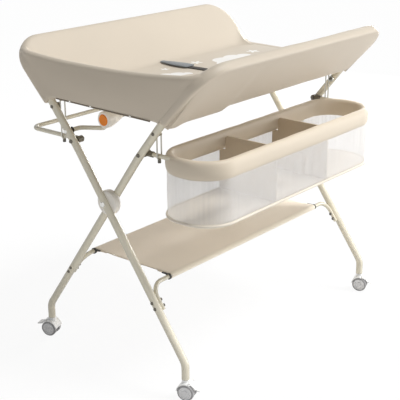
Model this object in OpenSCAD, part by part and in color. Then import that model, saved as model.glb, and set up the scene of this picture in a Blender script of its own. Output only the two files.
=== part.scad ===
// Folding changing table: two crossing tube frames on a hub pivot, a padded tray, a hanging basket,
// a lower shelf and four twin-wheel castors with brake pedals.
// X runs along the table (head end at -X), Y from the basket side to the back, Z up, floor at Z = 0.

/* [Frame tubes] */
// Distance between the centrelines of the outer pair of legs
leg_span = 880; // [820:1:940]
// Outside diameter of the leg tube
tube_d = 21; // [19:0.5:23]
// Wall of every steel tube
tube_wall = 1.2; // [0.9:0.1:1.6]
// Side gap between an outer and an inner leg
leg_gap = 7; // [5:0.5:8]
// Distance between the front and the back feet
foot_spread = 548; // [520:1:580]
// Height of the bend above each foot
knee_z = 100; // [95:1:115]
// Radius of the bend above each foot
knee_r = 40; // [30:1:50]
// Height of the hub pivot
hub_z = 485; // [475:1:500]
// Height above the hub at which a leg opens outward
elbow_rise = 135; // [125:1:145]
// Radius of the gentle bends in the upper leg
elbow_r = 150; // [120:1:180]

/* [Hub] */
// Diameter of the round hub covers
hub_d = 68; // [60:1:76]
// Diameter of the pivot bolt
hub_bolt_d = 8; // [7:0.5:10]

/* [Tray] */
// Distance between the legs at the tray's lower edge
seat_w = 380; // [360:1:400]
// Height of the tray's lower edge
seat_z = 737; // [725:1:750]
// Distance between the two top rails
rim_w = 640; // [620:1:655]
// Height of the top rails
rim_z = 873; // [860:1:890]
// Bend radius where a leg turns into its top rail
rail_bend_r = 75; // [65:1:90]
// Thickness of the padded long walls
wall_t = 30; // [28:0.5:32]
// Thickness of the padded bed
bed_t = 24; // [18:1:28]
// Thickness of the end panels
end_t = 22; // [18:1:26]
// Height of the head end panel at its corners
head_h = 116; // [100:1:125]
// How far the head end panel dips at its middle
head_dip = 18; // [5:1:30]
// Height of the lip at the foot end
lip_h = 28; // [26:1:40]

/* [Shelf] */
// Height of the shelf tubes
shelf_z = 284; // [270:1:300]
// Outside diameter of the shelf tube
shelf_tube_d = 12; // [10:0.5:14]
// Bend radius of the shelf tube's corners
shelf_bend_r = 38; // [34:1:42]
// Height at which a shelf tube ends on its leg
shelf_end_z = 224; // [218:1:230]
// How far the shelf cloth hangs at its middle
shelf_sag = 3; // [0:1:8]

/* [Side rails] */
// Height of the basket rail
rail_z = 634; // [628:1:638]
// Height of the back rail
back_rail_z = 638; // [632:1:642]
// Outside diameter of the side rails
rail_d = 12; // [10:0.5:14]
// Distance of the back rail from the middle of the table
back_rail_y = 302; // [285:1:310]
// Bend radius of the back rail's corners
back_rail_r = 28; // [22:1:40]
// Distance of the basket rail's hangers from the middle of the table
hanger_y = 152; // [146:1:154]
// Distance of the back rail's hangers in from the tray's lower edge
back_hanger_in = 20; // [18:1:30]
// Wire diameter of the hangers
hanger_wire_d = 4; // [3:0.5:5]

/* [Basket] */
// How far each end of the basket reaches past the arms of its rail
basket_over = 15; // [14:0.5:17]
// Width of the basket over its rim
basket_w = 205; // [195:1:215]
// Distance from the middle of the table to the basket's rear side
basket_rear_y = 131; // [129:1:135]
// Outer corner radius of the basket
basket_r = 95; // [93:1:97]
// Height of the top of the padded rim
basket_top_z = 643; // [641:1:650]
// Height of the padded rim band
rim_h = 52; // [46:1:58]
// Thickness of the padded rim band
rim_t = 26; // [22:1:30]
// Overall height of the basket
basket_h = 174; // [150:1:190]
// Thickness of the mesh wall
mesh_t = 1.6; // [1.2:0.1:2.4]
// Distance from one divider to the next
divider_pitch = 250; // [200:1:300]

/* [Lock] */
// Outside diameter of the brace tube
brace_d = 12; // [11:0.5:13]
// Outside diameter of the lock housing
lock_d = 46; // [42:1:50]
// Diameter of the push button
button_d = 31; // [26:1:34]
// Travel of the push button
button_travel = 3; // [2:0.5:4]

/* [Safety strap] */
// Width of the padded sleeve on the strap
strap_pad_w = 44; // [36:1:50]
// Width of the strap webbing
strap_w = 25; // [20:1:30]
// Place of the strap along the table
strap_x = 8; // [-60:1:60]

/* [Castors] */
// Diameter of the wheels
wheel_d = 46; // [42:0.5:48]
// Width of one wheel
wheel_w = 13; // [11:0.5:15]
// Width of the web between the two wheels
web_w = 11; // [9:0.5:13]
// Distance of the axle behind the swivel axis
trail = 5; // [3:0.5:8]
// Height of the lower end of the leg tubes
foot_z = 58; // [56:1:62]
// Diameter of the castor stem
stem_d = 8; // [7:0.5:9]

/* [Hidden] */
$fn = 48;
soft_gap = 0.3;
seat_gap = 0.05;
run_gap = 0.06;
hollow_end = 1;
bead = 0.15;
bead_l = 0.4;
roll_more = 1;

xa = leg_span / 2;
xb = xa - tube_d - leg_gap;
tube_r = tube_d / 2;
foot_y = foot_spread / 2;
elbow_z = hub_z + elbow_rise;
elbow_y = foot_y * elbow_rise / (hub_z - knee_z);
seat_y = seat_w / 2;
rim_y = rim_w / 2;
lower_lean = atan2(foot_y, hub_z - knee_z);
upper_lean = atan2(seat_y - elbow_y, seat_z - elbow_z);
wall_lean = atan2(rim_y - seat_y, rim_z - seat_z);
wall_len = norm([rim_y - seat_y, rim_z - seat_z]);

FRONT = -1;
BACK = 1;
ENDS = [-1, 1];

// A leg rises from its foot on one side to its rail on the other; side is where its rail is.
function rim_start(side) = let(d = [rim_y - seat_y, rim_z - seat_z] / wall_len)
    [side * (rim_y - rail_bend_r * d[0]), rim_z - rail_bend_r * d[1]];
function leg_path(x, side) = [
    [x, -side * foot_y, foot_z],
    [x, -side * foot_y, knee_z],
    [x, side * elbow_y, elbow_z],
    [x, side * seat_y, seat_z],
    [x, rim_start(side)[0], rim_start(side)[1]]];
function leg_radii() = [0, knee_r, elbow_r, elbow_r, 0];
function rail_path(x, side) = [
    [-x, rim_start(side)[0], rim_start(side)[1]],
    [-x, side * rim_y, rim_z],
    [x, side * rim_y, rim_z],
    [x, rim_start(side)[0], rim_start(side)[1]]];
// Distance of the lower leg and of the upper leg from the middle, at a height
function lower_y(z) = foot_y * (hub_z - z) / (hub_z - knee_z);
function upper_y(z) = elbow_y + (z - elbow_z) * tan(upper_lean);
function upper_z(y) = elbow_z + (y - elbow_y) / tan(upper_lean);

// ---- swept tubes: straight cylinders joined by true bends ----
function unit(v) = v / norm(v);
function heading(p, i) = unit(p[i + 1] - p[i]);
function turn(p, i) = acos(min(1, max(-1, heading(p, i - 1) * heading(p, i))));
function setback(p, rr, i) = (i == 0 || i == len(p) - 1) ? 0 : rr[i] * tan(turn(p, i) / 2);

module straight(from, to, r) {
    v = to - from;
    if (norm(v) > 0.01)
        translate(from)
            rotate([0, acos(v[2] / norm(v)), atan2(v[1], v[0])])
                cylinder(h = norm(v), r = r, $fn = 32);
}

function run(p, rr, i) = norm(p[i + 1] - p[i]) - setback(p, rr, i) - setback(p, rr, i + 1);
function lap(p, rr, i, k) = run(p, rr, k) > bead_l ? bead_l / rr[i] * 180 / PI : 0;

// A bend is a hair thicker than the tube and laps over the straights at its two ends.
module bend(p, rr, i, r) {
    a = heading(p, i - 1);
    b = heading(p, i);
    n = unit(b - a * (a * b));
    c = p[i] - a * setback(p, rr, i) + n * rr[i];
    w = cross(a, n);
    lap_in = lap(p, rr, i, i - 1);
    multmatrix([
        [-n[0], a[0], w[0], c[0]],
        [-n[1], a[1], w[1], c[1]],
        [-n[2], a[2], w[2], c[2]],
        [0, 0, 0, 1]])
        rotate([0, 0, -lap_in])
            rotate_extrude(angle = turn(p, i) + lap_in + lap(p, rr, i, i), $fn = 64)
                translate([rr[i], 0])
                    circle(r = r + bead, $fn = 32);
}

module sweep(p, rr, r) {
    for (i = [0 : len(p) - 2])
        straight(
            p[i] + heading(p, i) * setback(p, rr, i),
            p[i + 1] - heading(p, i) * setback(p, rr, i + 1),
            r);
    for (i = [1 : 1 : len(p) - 2])
        if (turn(p, i) > 0.01)
            bend(p, rr, i, r);
}

function longer(p, e) = [for (i = [0 : len(p) - 1])
    i == 0 ? p[0] - heading(p, 0) * e : i == len(p) - 1 ? p[i] + heading(p, i - 1) * e : p[i]];

module tube(p, rr, d) {
    difference() {
        sweep(p, rr, d / 2);
        sweep(longer(p, hollow_end), rr, d / 2 - tube_wall);
    }
}

module across(x, y, z, r, l) {
    translate([x, y, z])
        rotate([0, 90, 0])
            cylinder(h = l, r = r, center = true);
}

module rounded(l, w, r) {
    square([l - 2 * r, w], center = true);
    square([l, w - 2 * r], center = true);
    for (x = ENDS, y = ENDS)
        translate([x * (l / 2 - r), y * (w / 2 - r)])
            circle(r = r, $fn = 64);
}

// ---- the two leg frames ----
screw_d = 5;
arm_bolt_d = 6;
arm_gap = 0.2;
hang_gap = 0.3;
function arm_x(x) = x - tube_r - hang_gap - hanger_wire_d - arm_gap - rail_d / 2;
basket_l = 2 * (arm_x(xb) + basket_over);
shelf_screw_drop = 37;
shelf_screw_pitch = 14;
shelf_screw_z = [shelf_z - shelf_screw_drop, shelf_z - shelf_screw_drop - shelf_screw_pitch];
// The two sides differ in the height of their rail and the place of their hangers.
function arm_z(side) = side == BACK ? back_rail_z : rail_z;
function arm_y(side) = upper_y(arm_z(side));
function hang_y(side) = side == BACK ? seat_y - back_hanger_in : hanger_y;
function hang_bolt_z(side) = upper_z(hang_y(side)) + 10;
function hang_bolt_y(side) = upper_y(hang_bolt_z(side));
pivot_d = 6;
brace_rise = 24;
brace_pivot_z = back_rail_z + brace_rise;
brace_pivot_y = upper_y(brace_pivot_z);

module leg(x, side) {
    difference() {
        tube(leg_path(x, side), leg_radii(), tube_d);
        across(x, 0, hub_z, hub_bolt_d / 2 + run_gap, tube_d + 2);
        across(x, side * arm_y(side), arm_z(side), arm_bolt_d / 2 + seat_gap, tube_d + 2);
        across(x, side * hang_bolt_y(side), hang_bolt_z(side), screw_d / 2 + seat_gap, tube_d + 2);
        for (z = shelf_screw_z)
            across(x, -side * lower_y(z), z, screw_d / 2 + seat_gap, tube_d + 2);
        if (side == BACK)
            across(x, brace_pivot_y, brace_pivot_z, pivot_d / 2 + seat_gap, tube_d + 2);
    }
}

steel = "#b9b2a0";
module frame_a_leg_near() { color(steel) leg(-xa, BACK); }
module frame_a_leg_far() { color(steel) leg(xa, BACK); }
module frame_b_leg_near() { color(steel) leg(-xb, FRONT); }
module frame_b_leg_far() { color(steel) leg(xb, FRONT); }
module top_rail(x, side) { tube(rail_path(x, side), [0, rail_bend_r, rail_bend_r, 0], tube_d); }
module frame_a_top_rail() { color(steel) top_rail(xa, BACK); }
module frame_b_top_rail() { color(steel) top_rail(xb, FRONT); }

// ---- hub: a disc on the inner side of each leg, which lies in its groove; one bolt holds both ----
hub_t = 11;
hub_face_gap = 0.3;
hub_chamfer = 4;
bolt_head_d = 15;
bolt_head_h = 4;

// A disc reaches from the plane between the legs to hub_t outwards; out is the side of its grooved face.
module hub_cover(x, side, out) {
    t = hub_t - hub_face_gap / 2;
    difference() {
        translate([sign(x) * (xa + xb) / 2 + out * hub_t, 0, hub_z])
            rotate([0, -90 * out, 0])
                rotate_extrude($fn = 96)
                    polygon([
                        [0, 0], [hub_d / 2 - hub_chamfer, 0], [hub_d / 2 - 1, 1.4], [hub_d / 2, hub_chamfer],
                        [hub_d / 2, t], [0, t]]);
        translate([x, 0, hub_z])
            rotate([-side * lower_lean, 0, 0])
                cylinder(h = hub_d * 2, r = tube_r + seat_gap, center = true);
        across(x, 0, hub_z, hub_bolt_d / 2 + run_gap, hub_d);
    }
}

hub_plastic = "#e6e3df";
// rotate([0, -90 * out, 0]) turns the profile's +Z to -out * X, so t runs inward from the outer face.
module frame_a_hub_covers() { color(hub_plastic) for (e = ENDS) hub_cover(e * xa, BACK, e); }
module frame_b_hub_covers() { color(hub_plastic) for (e = ENDS) hub_cover(e * xb, FRONT, -e); }

module hub_bolts() {
    grip = xa - xb + tube_d;
    color("silver")
        for (e = ENDS)
            translate([e * (xa + tube_r), 0, hub_z])
                rotate([0, e * 90, 0]) {
                    cylinder(h = bolt_head_h, d1 = bolt_head_d, d2 = bolt_head_d - 4);
                    translate([0, 0, -grip])
                        cylinder(h = grip, d = hub_bolt_d);
                    translate([0, 0, -grip - bolt_head_h])
                        cylinder(h = bolt_head_h, d = bolt_head_d - 2, $fn = 6);
                }
}

// ---- screws: one group for each frame ----
// A screw runs through along X from its head at the outer face; out is the side of its head.
module screw(x, y, z, d, grip, out) {
    translate([x, y, z])
        rotate([0, out * 90, 0]) {
            cylinder(h = d * 0.5, d1 = d * 1.9, d2 = d * 1.4);
            translate([0, 0, -grip])
                cylinder(h = grip, d = d);
            translate([0, 0, -grip - d * 0.7])
                cylinder(h = d * 0.7, d = d * 1.7);
        }
}

eye_r = 9;
eye_w = rail_d / 2 + arm_gap + hanger_wire_d + 9;
brace_grip = 20;
shelf_r = shelf_tube_d / 2;
shelf_inset = tube_r + shelf_r + bead + seat_gap;

module frame_screws(x, side) {
    for (e = ENDS) {
        screw(e * (x + tube_r), side * arm_y(side), arm_z(side), arm_bolt_d,
            tube_d + hang_gap + eye_w + hang_gap, e);
        screw(e * (x + tube_r), side * hang_bolt_y(side), hang_bolt_z(side), screw_d,
            tube_d + hang_gap + hanger_wire_d, e);
        for (z = shelf_screw_z)
            screw(e * (x + tube_r), -side * lower_y(z), z, screw_d,
                tube_d + shelf_tube_d + bead + seat_gap, e);
    }
}
module frame_a_screws() { color("#5d5b55") frame_screws(xa, BACK); }
// Pins the brace swings on: a low head outside the leg, and a shank that reaches into the brace tube
module brace_pins() {
    color("silver")
        for (e = ENDS)
            translate([e * (xa + tube_r), brace_pivot_y, brace_pivot_z])
                rotate([0, e * 90, 0]) {
                    cylinder(h = 3, d1 = pivot_d * 1.9, d2 = pivot_d * 1.4);
                    translate([0, 0, -tube_d - brace_grip])
                        cylinder(h = tube_d + brace_grip, d = pivot_d);
                }
}
module frame_b_screws() { color("#5d5b55") frame_screws(xb, FRONT); }

// ---- foot plugs that hold the castor stems ----
plug_l = 26;
plug_lip = 1.6;
module foot_plug(x, y) {
    difference() {
        translate([x, y, foot_z]) {
            translate([0, 0, -plug_lip])
                cylinder(h = plug_lip, r = tube_r);
            cylinder(h = plug_l, r = tube_r - tube_wall - seat_gap);
        }
        translate([x, y, foot_z - plug_lip - 1])
            cylinder(h = plug_l + plug_lip + 2, r = stem_d / 2 + run_gap);
    }
}
module frame_a_foot_plugs() { color("#d8d4ca") for (e = ENDS) foot_plug(e * xa, -foot_y); }
module frame_b_foot_plugs() { color("#d8d4ca") for (e = ENDS) foot_plug(e * xb, foot_y); }

// ---- shelf: a bent tube on each pair of lower legs, a cloth sleeve over both ----
function shelf_path(x, side) = let(i = x - shelf_inset) [
    [-i, -side * lower_y(shelf_end_z), shelf_end_z],
    [-i, -side * lower_y(shelf_z), shelf_z],
    [i, -side * lower_y(shelf_z), shelf_z],
    [i, -side * lower_y(shelf_end_z), shelf_end_z]];
module shelf_tube(x, side) {
    difference() {
        tube(shelf_path(x, side), [0, shelf_bend_r, shelf_bend_r, 0], shelf_tube_d);
        for (e = ENDS, z = shelf_screw_z)
            across(e * (x - shelf_inset), -side * lower_y(z), z, screw_d / 2 + seat_gap, shelf_tube_d + 2);
    }
}
module frame_a_shelf_tube() { color(steel) shelf_tube(xa, BACK); }
module frame_b_shelf_tube() { color(steel) shelf_tube(xb, FRONT); }

shelf_y = lower_y(shelf_z);
shelf_half_l = xb - shelf_inset - shelf_bend_r - 2;
sleeve_t = 2;
clip_l = 5;
clip_tab = 24;
// The cloth: a sleeve round each tube and a hanging web between them, drawn in the YZ plane.
module shelf_cloth() {
    sleeve_r = shelf_r + soft_gap + sleeve_t;
    color("#c4b7a4")
        translate([-shelf_half_l + clip_l + soft_gap, 0, shelf_z])
            rotate([90, 0, 90])
                linear_extrude(2 * (shelf_half_l - clip_l - soft_gap))
                    difference() {
                        union() {
                            for (s = ENDS)
                                translate([s * shelf_y, 0])
                                    circle(r = sleeve_r);
                            polygon(concat(
                                [for (i = [-8 : 8]) [i * shelf_y / 8, shelf_r - web_drop(i / 8)]],
                                [for (i = [8 : -1 : -8])
                                    [i * shelf_y / 8, shelf_r + sleeve_t - web_drop(i / 8)]]));
                        }
                        for (s = ENDS)
                            translate([s * shelf_y, 0])
                                circle(r = shelf_r + soft_gap);
                    }
}
function web_drop(t) = shelf_sag * (1 - t * t);

module shelf_clips(side) {
    for (e = ENDS)
        translate([e * (shelf_half_l - clip_l / 2), -side * shelf_y, shelf_z])
            difference() {
                union() {
                    across(0, 0, 0, shelf_r + 2.6, clip_l);
                    translate([-clip_l / 2 + 0.5, side > 0 ? 0 : -clip_tab, shelf_r - 2.5])
                        cube([clip_l - 1, clip_tab, 3.5]);
                }
                across(0, 0, 0, shelf_r + seat_gap, clip_l + 2);
            }
}
module frame_a_shelf_clips() { color("#3c3a36") shelf_clips(BACK); }
module frame_b_shelf_clips() { color("#3c3a36") shelf_clips(FRONT); }

// ---- padded tray: two flared long walls, a bed, a head panel and a foot lip ----
// A long wall is drawn in its own plane: X along the table, Y up the slope, then leaned out.
module on_wall(side) {
    translate([0, side * seat_y, seat_z])
        rotate([0, 0, side > 0 ? 0 : 180])
            rotate([90 - wall_lean, 0, 0])
                children();
}
module tray_wall(x, side) {
    difference() {
        union() {
            on_wall(side)
                translate([0, 0, -wall_t / 2])
                    linear_extrude(wall_t) {
                        translate([-x + 2, 0])
                            square([2 * (x - 2), wall_len - rail_bend_r]);
                        translate([-x + rail_bend_r, 0])
                            square([2 * (x - rail_bend_r), wall_len]);
                        for (e = ENDS)
                            translate([e * (x - rail_bend_r), wall_len - rail_bend_r])
                                circle(r = rail_bend_r - 2, $fn = 96);
                    }
            sweep(tray_tube(x, side, seat_z + 1.5), [0, rail_bend_r, rail_bend_r, 0],
                wall_t / 2 + roll_more);
        }
        sweep(longer(tray_tube(x, side, seat_z), 2), [0, rail_bend_r, rail_bend_r, 0], tube_r + soft_gap);
    }
}
// The part of a frame that runs inside the wall, from a height on its slope
function tray_tube(x, side, z) = let(y = seat_y + (z - seat_z) * tan(wall_lean)) [
    [-x, side * y, z],
    [-x, side * rim_y, rim_z],
    [x, side * rim_y, rim_z],
    [x, side * y, z]];
module tray_back_wall() { color("#dccfbb") tray_wall(xa, BACK); }
module tray_front_wall() { color("#cbbfac") tray_wall(xb, FRONT); }

// Inner face of a long wall at a height above the tray's lower edge
function inner_y(h) = seat_y + h * tan(wall_lean) - wall_t / 2 / cos(wall_lean);
bed_z = seat_z + 5;
bed_end_gap = 1;
// A shallow channel across the bed, which the strap lies in
channel_w = strap_pad_w + 8;
channel_t = 0.8;
panel_gap = 1.8;
// The frames are not equally long, so both end panels stand a little askew.
skew_run = 2 * seat_y + 60;
end_skew = atan2(tube_d + leg_gap, skew_run);
end_x = (xa + xb) / 2 + 12;

// A closed outline between the flared walls, from the bed's underside up by h
module between_walls(l, h, dip, gap) {
    steps = 12;
    top = inner_y(bed_z + h - seat_z) - gap;
    foot = inner_y(bed_z - seat_z) - gap;
    rotate([90, 0, 90])
        linear_extrude(l, center = true)
            polygon(concat(
                [[-foot, bed_z], [foot, bed_z], [top, bed_z + h]],
                dip > 0 ? [for (i = [1 : steps - 1]) let(t = 1 - 2 * i / steps)
                    [t * top, bed_z + h - dip * (1 - t * t)]] : [],
                [[-top, bed_z + h]]));
}
module tray_bed() {
    color("#ddd6c6")
        difference() {
            between_walls(2 * (end_x - end_t - 14 - bed_end_gap), bed_t, 0, soft_gap);
            translate([strap_x - channel_w / 2, -rim_y, bed_z + bed_t - channel_t])
                cube([channel_w, 2 * rim_y, bed_t]);
        }
}
module tray_head_panel() {
    color("#a79d90")
        translate([-end_x + end_t / 2, 0, 0])
            rotate([0, 0, end_skew])
                between_walls(end_t, head_h, head_dip, panel_gap);
}
module tray_foot_lip() {
    color("#cbbfac")
        translate([end_x - end_t / 2, 0, 0])
            rotate([0, 0, -end_skew])
                between_walls(end_t, lip_h, 0, panel_gap);
}

// ---- safety strap: webbing across the bed, a padded sleeve and a buckle ----
strap_t = 2;
pad_t = 7;
strap_half = inner_y(bed_z + bed_t - seat_z) - 3;
strap_z = bed_z + bed_t - channel_t + soft_gap;
buckle_l = 50;
buckle_y = -60;
pad_end_y = 80;
module strap_web() {
    color("#4a4a48")
        for (span = [
            [-strap_half, buckle_y - buckle_l / 2],
            [buckle_y + buckle_l / 2, pad_end_y - soft_gap]])
            translate([strap_x - strap_w / 2, span[0], strap_z])
                cube([strap_w, span[1] - span[0], strap_t]);
}
module strap_pad() {
    color("#a7a7a4")
        translate([strap_x - strap_pad_w / 2, pad_end_y, strap_z])
            cube([strap_pad_w, strap_half - pad_end_y, pad_t]);
}
module strap_buckle() {
    color("#2e2d2b")
        translate([strap_x, buckle_y, strap_z])
            linear_extrude(9)
                rounded(strap_w + 12, buckle_l, 8);
}

// ---- side rails: an eye on each arm turns on a bolt through the leg, and wire stirrups hold the arms ----
function rail_points(x, front) = let(side = sign(front), end = side * (arm_y(side) + eye_r - 3)) [
    [-arm_x(x), end, arm_z(side)],
    [-arm_x(x), front, arm_z(side)],
    [arm_x(x), front, arm_z(side)],
    [arm_x(x), end, arm_z(side)]];
module side_rail(x, front, corner) { tube(rail_points(x, front), [0, corner, corner, 0], rail_d); }
module back_rail() { color(steel) side_rail(xa, back_rail_y, back_rail_r); }

cup_l = 24;
cup_wall = 2;
// An eye: a barrel on the bolt, and a cup that the end of the arm sits in
module arm_eyes(x, side) {
    y = side * arm_y(side);
    z = arm_z(side);
    for (e = ENDS)
        difference() {
            union() {
                translate([e * (x - tube_r - hang_gap), y, z])
                    rotate([0, -e * 90, 0])
                        cylinder(h = eye_w, r = eye_r);
                translate([e * arm_x(x), y, z])
                    rotate([-side * 90, 0, 0])
                        cylinder(h = cup_l, r = rail_d / 2 + cup_wall);
            }
            translate([e * arm_x(x), y + side * (eye_r - 3.1), z])
                rotate([-side * 90, 0, 0])
                    cylinder(h = cup_l, r = rail_d / 2 + seat_gap);
            across(e * x, y, z, arm_bolt_d / 2 + run_gap, 4 * eye_w + tube_d);
        }
}
module back_rail_eyes() { color("#6b675e") arm_eyes(xa, BACK); }
module front_rail_eyes() { color("#6b675e") arm_eyes(xb, FRONT); }

stirrup_up = 14;
plate_r = 9;
knob_d = 9;
knob_h = 9;
// A stirrup: two wires down from a plate on the leg, a half ring below the arm and a knob under it
module stirrup(x, side, e) {
    wire_r = hanger_wire_d / 2;
    ring_r = rail_d / 2 + arm_gap + wire_r;
    top = hang_bolt_z(side) + stirrup_up;
    y = side * hang_y(side);
    bolt_y = side * hang_bolt_y(side);
    difference() {
        union() {
            translate([e * arm_x(x), y, arm_z(side)]) {
                for (f = ENDS)
                    translate([f * ring_r, 0, 0])
                        cylinder(h = top - arm_z(side), r = wire_r);
                rotate([-90, 0, 0])
                    rotate_extrude(angle = 180)
                        translate([ring_r, 0])
                            circle(r = wire_r, $fn = 32);
                translate([0, 0, -ring_r - wire_r - knob_h + 1])
                    cylinder(h = knob_h, d = knob_d);
            }
            across(e * arm_x(x), y, top, wire_r, 2 * ring_r);
            across(e * (arm_x(x) + ring_r), bolt_y, hang_bolt_z(side), plate_r, hanger_wire_d);
        }
        across(e * x, bolt_y, hang_bolt_z(side), screw_d / 2 + seat_gap, 4 * tube_d);
    }
}
module frame_a_hangers() { color("silver") for (e = ENDS) stirrup(xa, BACK, e); }
module frame_b_hangers() { color("silver") for (e = ENDS) stirrup(xb, FRONT, e); }

// ---- basket: its padded rim is sewn round the front rail ----
basket_mid_y = -basket_rear_y - basket_w / 2;
rim_mid = rim_t / 2;
front_rail_y = -basket_rear_y - basket_w + rim_mid;
front_rail_r = basket_r - rim_mid - (basket_l / 2 - rim_mid - arm_x(xb));
module front_rail() { color(steel) side_rail(xb, front_rail_y, front_rail_r); }

// Plan of the basket: the rim's outline, moved in by an inset
module basket_plan(inset) {
    translate([0, basket_mid_y])
        rounded(basket_l - 2 * inset, basket_w - 2 * inset, basket_r - inset);
}
module basket_band(outer, inner) {
    difference() {
        basket_plan(outer);
        basket_plan(inner);
    }
}
rim_bottom_z = basket_top_z - rim_h;
basket_floor_z = basket_top_z - basket_h;
mesh_inset = 4;
floor_t = 5;
piping_d = 8;
module basket_rim() {
    color("#d9c9b0")
        difference() {
            translate([0, 0, rim_bottom_z])
                linear_extrude(rim_h)
                    basket_band(0, rim_t);
            sweep(rail_points(xb, front_rail_y), [0, front_rail_r, front_rail_r, 0], rail_d / 2 + soft_gap);
        }
}
module basket_mesh() {
    translate([0, 0, basket_floor_z + piping_d])
        linear_extrude(rim_bottom_z - basket_floor_z - piping_d)
            basket_band(mesh_inset, mesh_inset + mesh_t);
}
mesh_straight_x = basket_l / 2 - basket_r;
module mesh_slice(x0, x1, y0, y1) {
    intersection() {
        basket_mesh();
        translate([x0, basket_mid_y + y0, basket_floor_z])
            cube([x1 - x0, y1 - y0, basket_h]);
    }
}
module basket_mesh_sides() {
    color("#e9e7e6", 0.6)
        for (f = ENDS)
            mesh_slice(-mesh_straight_x, mesh_straight_x,
                min(0, f * basket_w / 2), max(0, f * basket_w / 2));
}
module basket_mesh_ends() {
    color("#e9e7e6", 0.6)
        for (e = ENDS)
            mesh_slice(e < 0 ? -basket_l / 2 : mesh_straight_x, e < 0 ? -mesh_straight_x : basket_l / 2,
                -basket_w / 2, basket_w / 2);
}
module basket_floor() {
    color("#d8cfc3")
        translate([0, 0, basket_floor_z]) {
            linear_extrude(piping_d)
                basket_band(mesh_inset - 3, mesh_inset + 5);
            translate([0, 0, (piping_d - floor_t) / 2])
                linear_extrude(floor_t)
                    basket_plan(mesh_inset);
        }
}
divider_t = 4;
divider_top_z = basket_top_z - 12;
// A divider stands between the front and the rear mesh and is cut back round the padded rim.
module basket_dividers() {
    low = basket_floor_z + (piping_d + floor_t) / 2 + soft_gap;
    half = basket_w / 2 - mesh_inset - mesh_t - soft_gap;
    half_rim = basket_w / 2 - rim_t - soft_gap;
    shoulder = rim_bottom_z - soft_gap;
    color("#8d8168")
        for (e = ENDS)
            translate([e * divider_pitch / 2 - divider_t / 2, basket_mid_y, 0])
                rotate([90, 0, 90])
                    linear_extrude(divider_t)
                        polygon([[-half + 4, low], [half - 4, low], [half - 4, basket_floor_z + piping_d],
                            [half, basket_floor_z + piping_d + 4], [half, shoulder], [half_rim, shoulder],
                            [half_rim, divider_top_z - 6], [half_rim - 6, divider_top_z],
                            [-half_rim + 6, divider_top_z],
                            [-half_rim, divider_top_z - 6], [-half_rim, shoulder], [-half, shoulder],
                            [-half, basket_floor_z + piping_d + 4],
                            [-half + 4, basket_floor_z + piping_d]]);
}

// ---- lock: a brace that swings on the outer legs, with a push-button housing at its head end ----
lock_y = 38;
lock_z = 698;
brace_x = xb - tube_r - 22;
brace_r = brace_d / 2;
flange_t = 3;
brace_end = xa - tube_r - soft_gap - flange_t;
lock_face_x = -(xb - tube_r - 3);
lock_l = 64;
button_pocket = 11;
button_proud = 2.2;
function brace_half(e) = [
    [e * brace_end, brace_pivot_y, brace_pivot_z],
    [e * (brace_end - 30), brace_pivot_y, brace_pivot_z],
    [e * brace_x, lock_y + 15, brace_pivot_z + 8],
    [e * brace_x, lock_y, lock_z]];
function brace_path() = concat(brace_half(-1), [for (k = [3 : -1 : 0]) brace_half(1)[k]]);
function brace_radii() = [0, 12, 18, 13, 13, 18, 12, 0];
module brace_tube() { color(steel) tube(brace_path(), brace_radii(), brace_d); }
module brace_bushes() {
    color("#3c3a36")
        for (e = ENDS)
            translate([e * brace_end, brace_pivot_y, brace_pivot_z])
                rotate([0, -e * 90, 0])
                    difference() {
                        union() {
                            translate([0, 0, -flange_t])
                                cylinder(h = flange_t, r = brace_r + 3);
                            cylinder(h = brace_grip - 2, r = brace_r - tube_wall - seat_gap);
                        }
                        translate([0, 0, -flange_t - 1])
                            cylinder(h = brace_grip + flange_t, r = pivot_d / 2 + run_gap);
                    }
}
module lock_housing() {
    color("#dcd7cf")
        difference() {
            translate([lock_face_x, lock_y, lock_z])
                rotate([0, 90, 0])
                    rotate_extrude($fn = 96)
                        polygon([
                            [0, 0], [lock_d / 2 - 3, 0], [lock_d / 2, 3], [lock_d / 2, 17],
                            [lock_d / 2 - 2, 26],
                            [brace_r + 7, lock_l - 12], [brace_r + 2.5, lock_l], [0, lock_l]]);
            sweep(brace_path(), brace_radii(), brace_r + seat_gap);
            translate([lock_face_x - 1, lock_y, lock_z])
                rotate([0, 90, 0])
                    cylinder(h = button_pocket + 1, r = button_d / 2 + run_gap);
        }
}
module lock_button() {
    color("#cc7a28")
        translate([lock_face_x - button_proud, lock_y, lock_z])
            rotate([0, 90, 0])
                rotate_extrude($fn = 72)
                    polygon([[0, 0.8], [button_d / 4, 0.4], [button_d / 2 - 2, 0], [button_d / 2, 1.6],
                        [button_d / 2, button_proud + button_pocket - button_travel - 1],
                        [0, button_proud + button_pocket - button_travel - 1]]);
}

// ---- castors: drawn at the swivel axis on the floor, axle along X, trailing towards +Y ----
wheel_r = wheel_d / 2;
axle_d = 5;
pocket_gap = 0.8;
hood_t = 2.4;
wheel_x = web_w / 2 + pocket_gap / 2;
boss_r = 10;
boss_top = foot_z - plug_lip - 0.3;
hood_r = wheel_r + pocket_gap + hood_t;
castor_w = 2 * (wheel_x + wheel_w);
tyre_t = 5;
barb = 0.9;
pin_d = 3;
pin_angle = 70;
pin_at = wheel_r + pocket_gap + 2.2;
pin_y = trail + pin_at * cos(pin_angle);
pin_z = wheel_r + pin_at * sin(pin_angle);
ear_r = 3.4;
pedal_w = 24;
pedal_open = 8;
brake_gap = 0.3;
// Places of the castors, and the way each one trails, turned from +Y
spots = [[-xa, -foot_y, -161], [-xb, foot_y, 19], [xa, -foot_y, -161], [xb, foot_y, 19]];
module castor_at(k) {
    translate([spots[k][0], spots[k][1], 0])
        rotate([0, 0, spots[k][2]])
            children();
}
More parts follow.
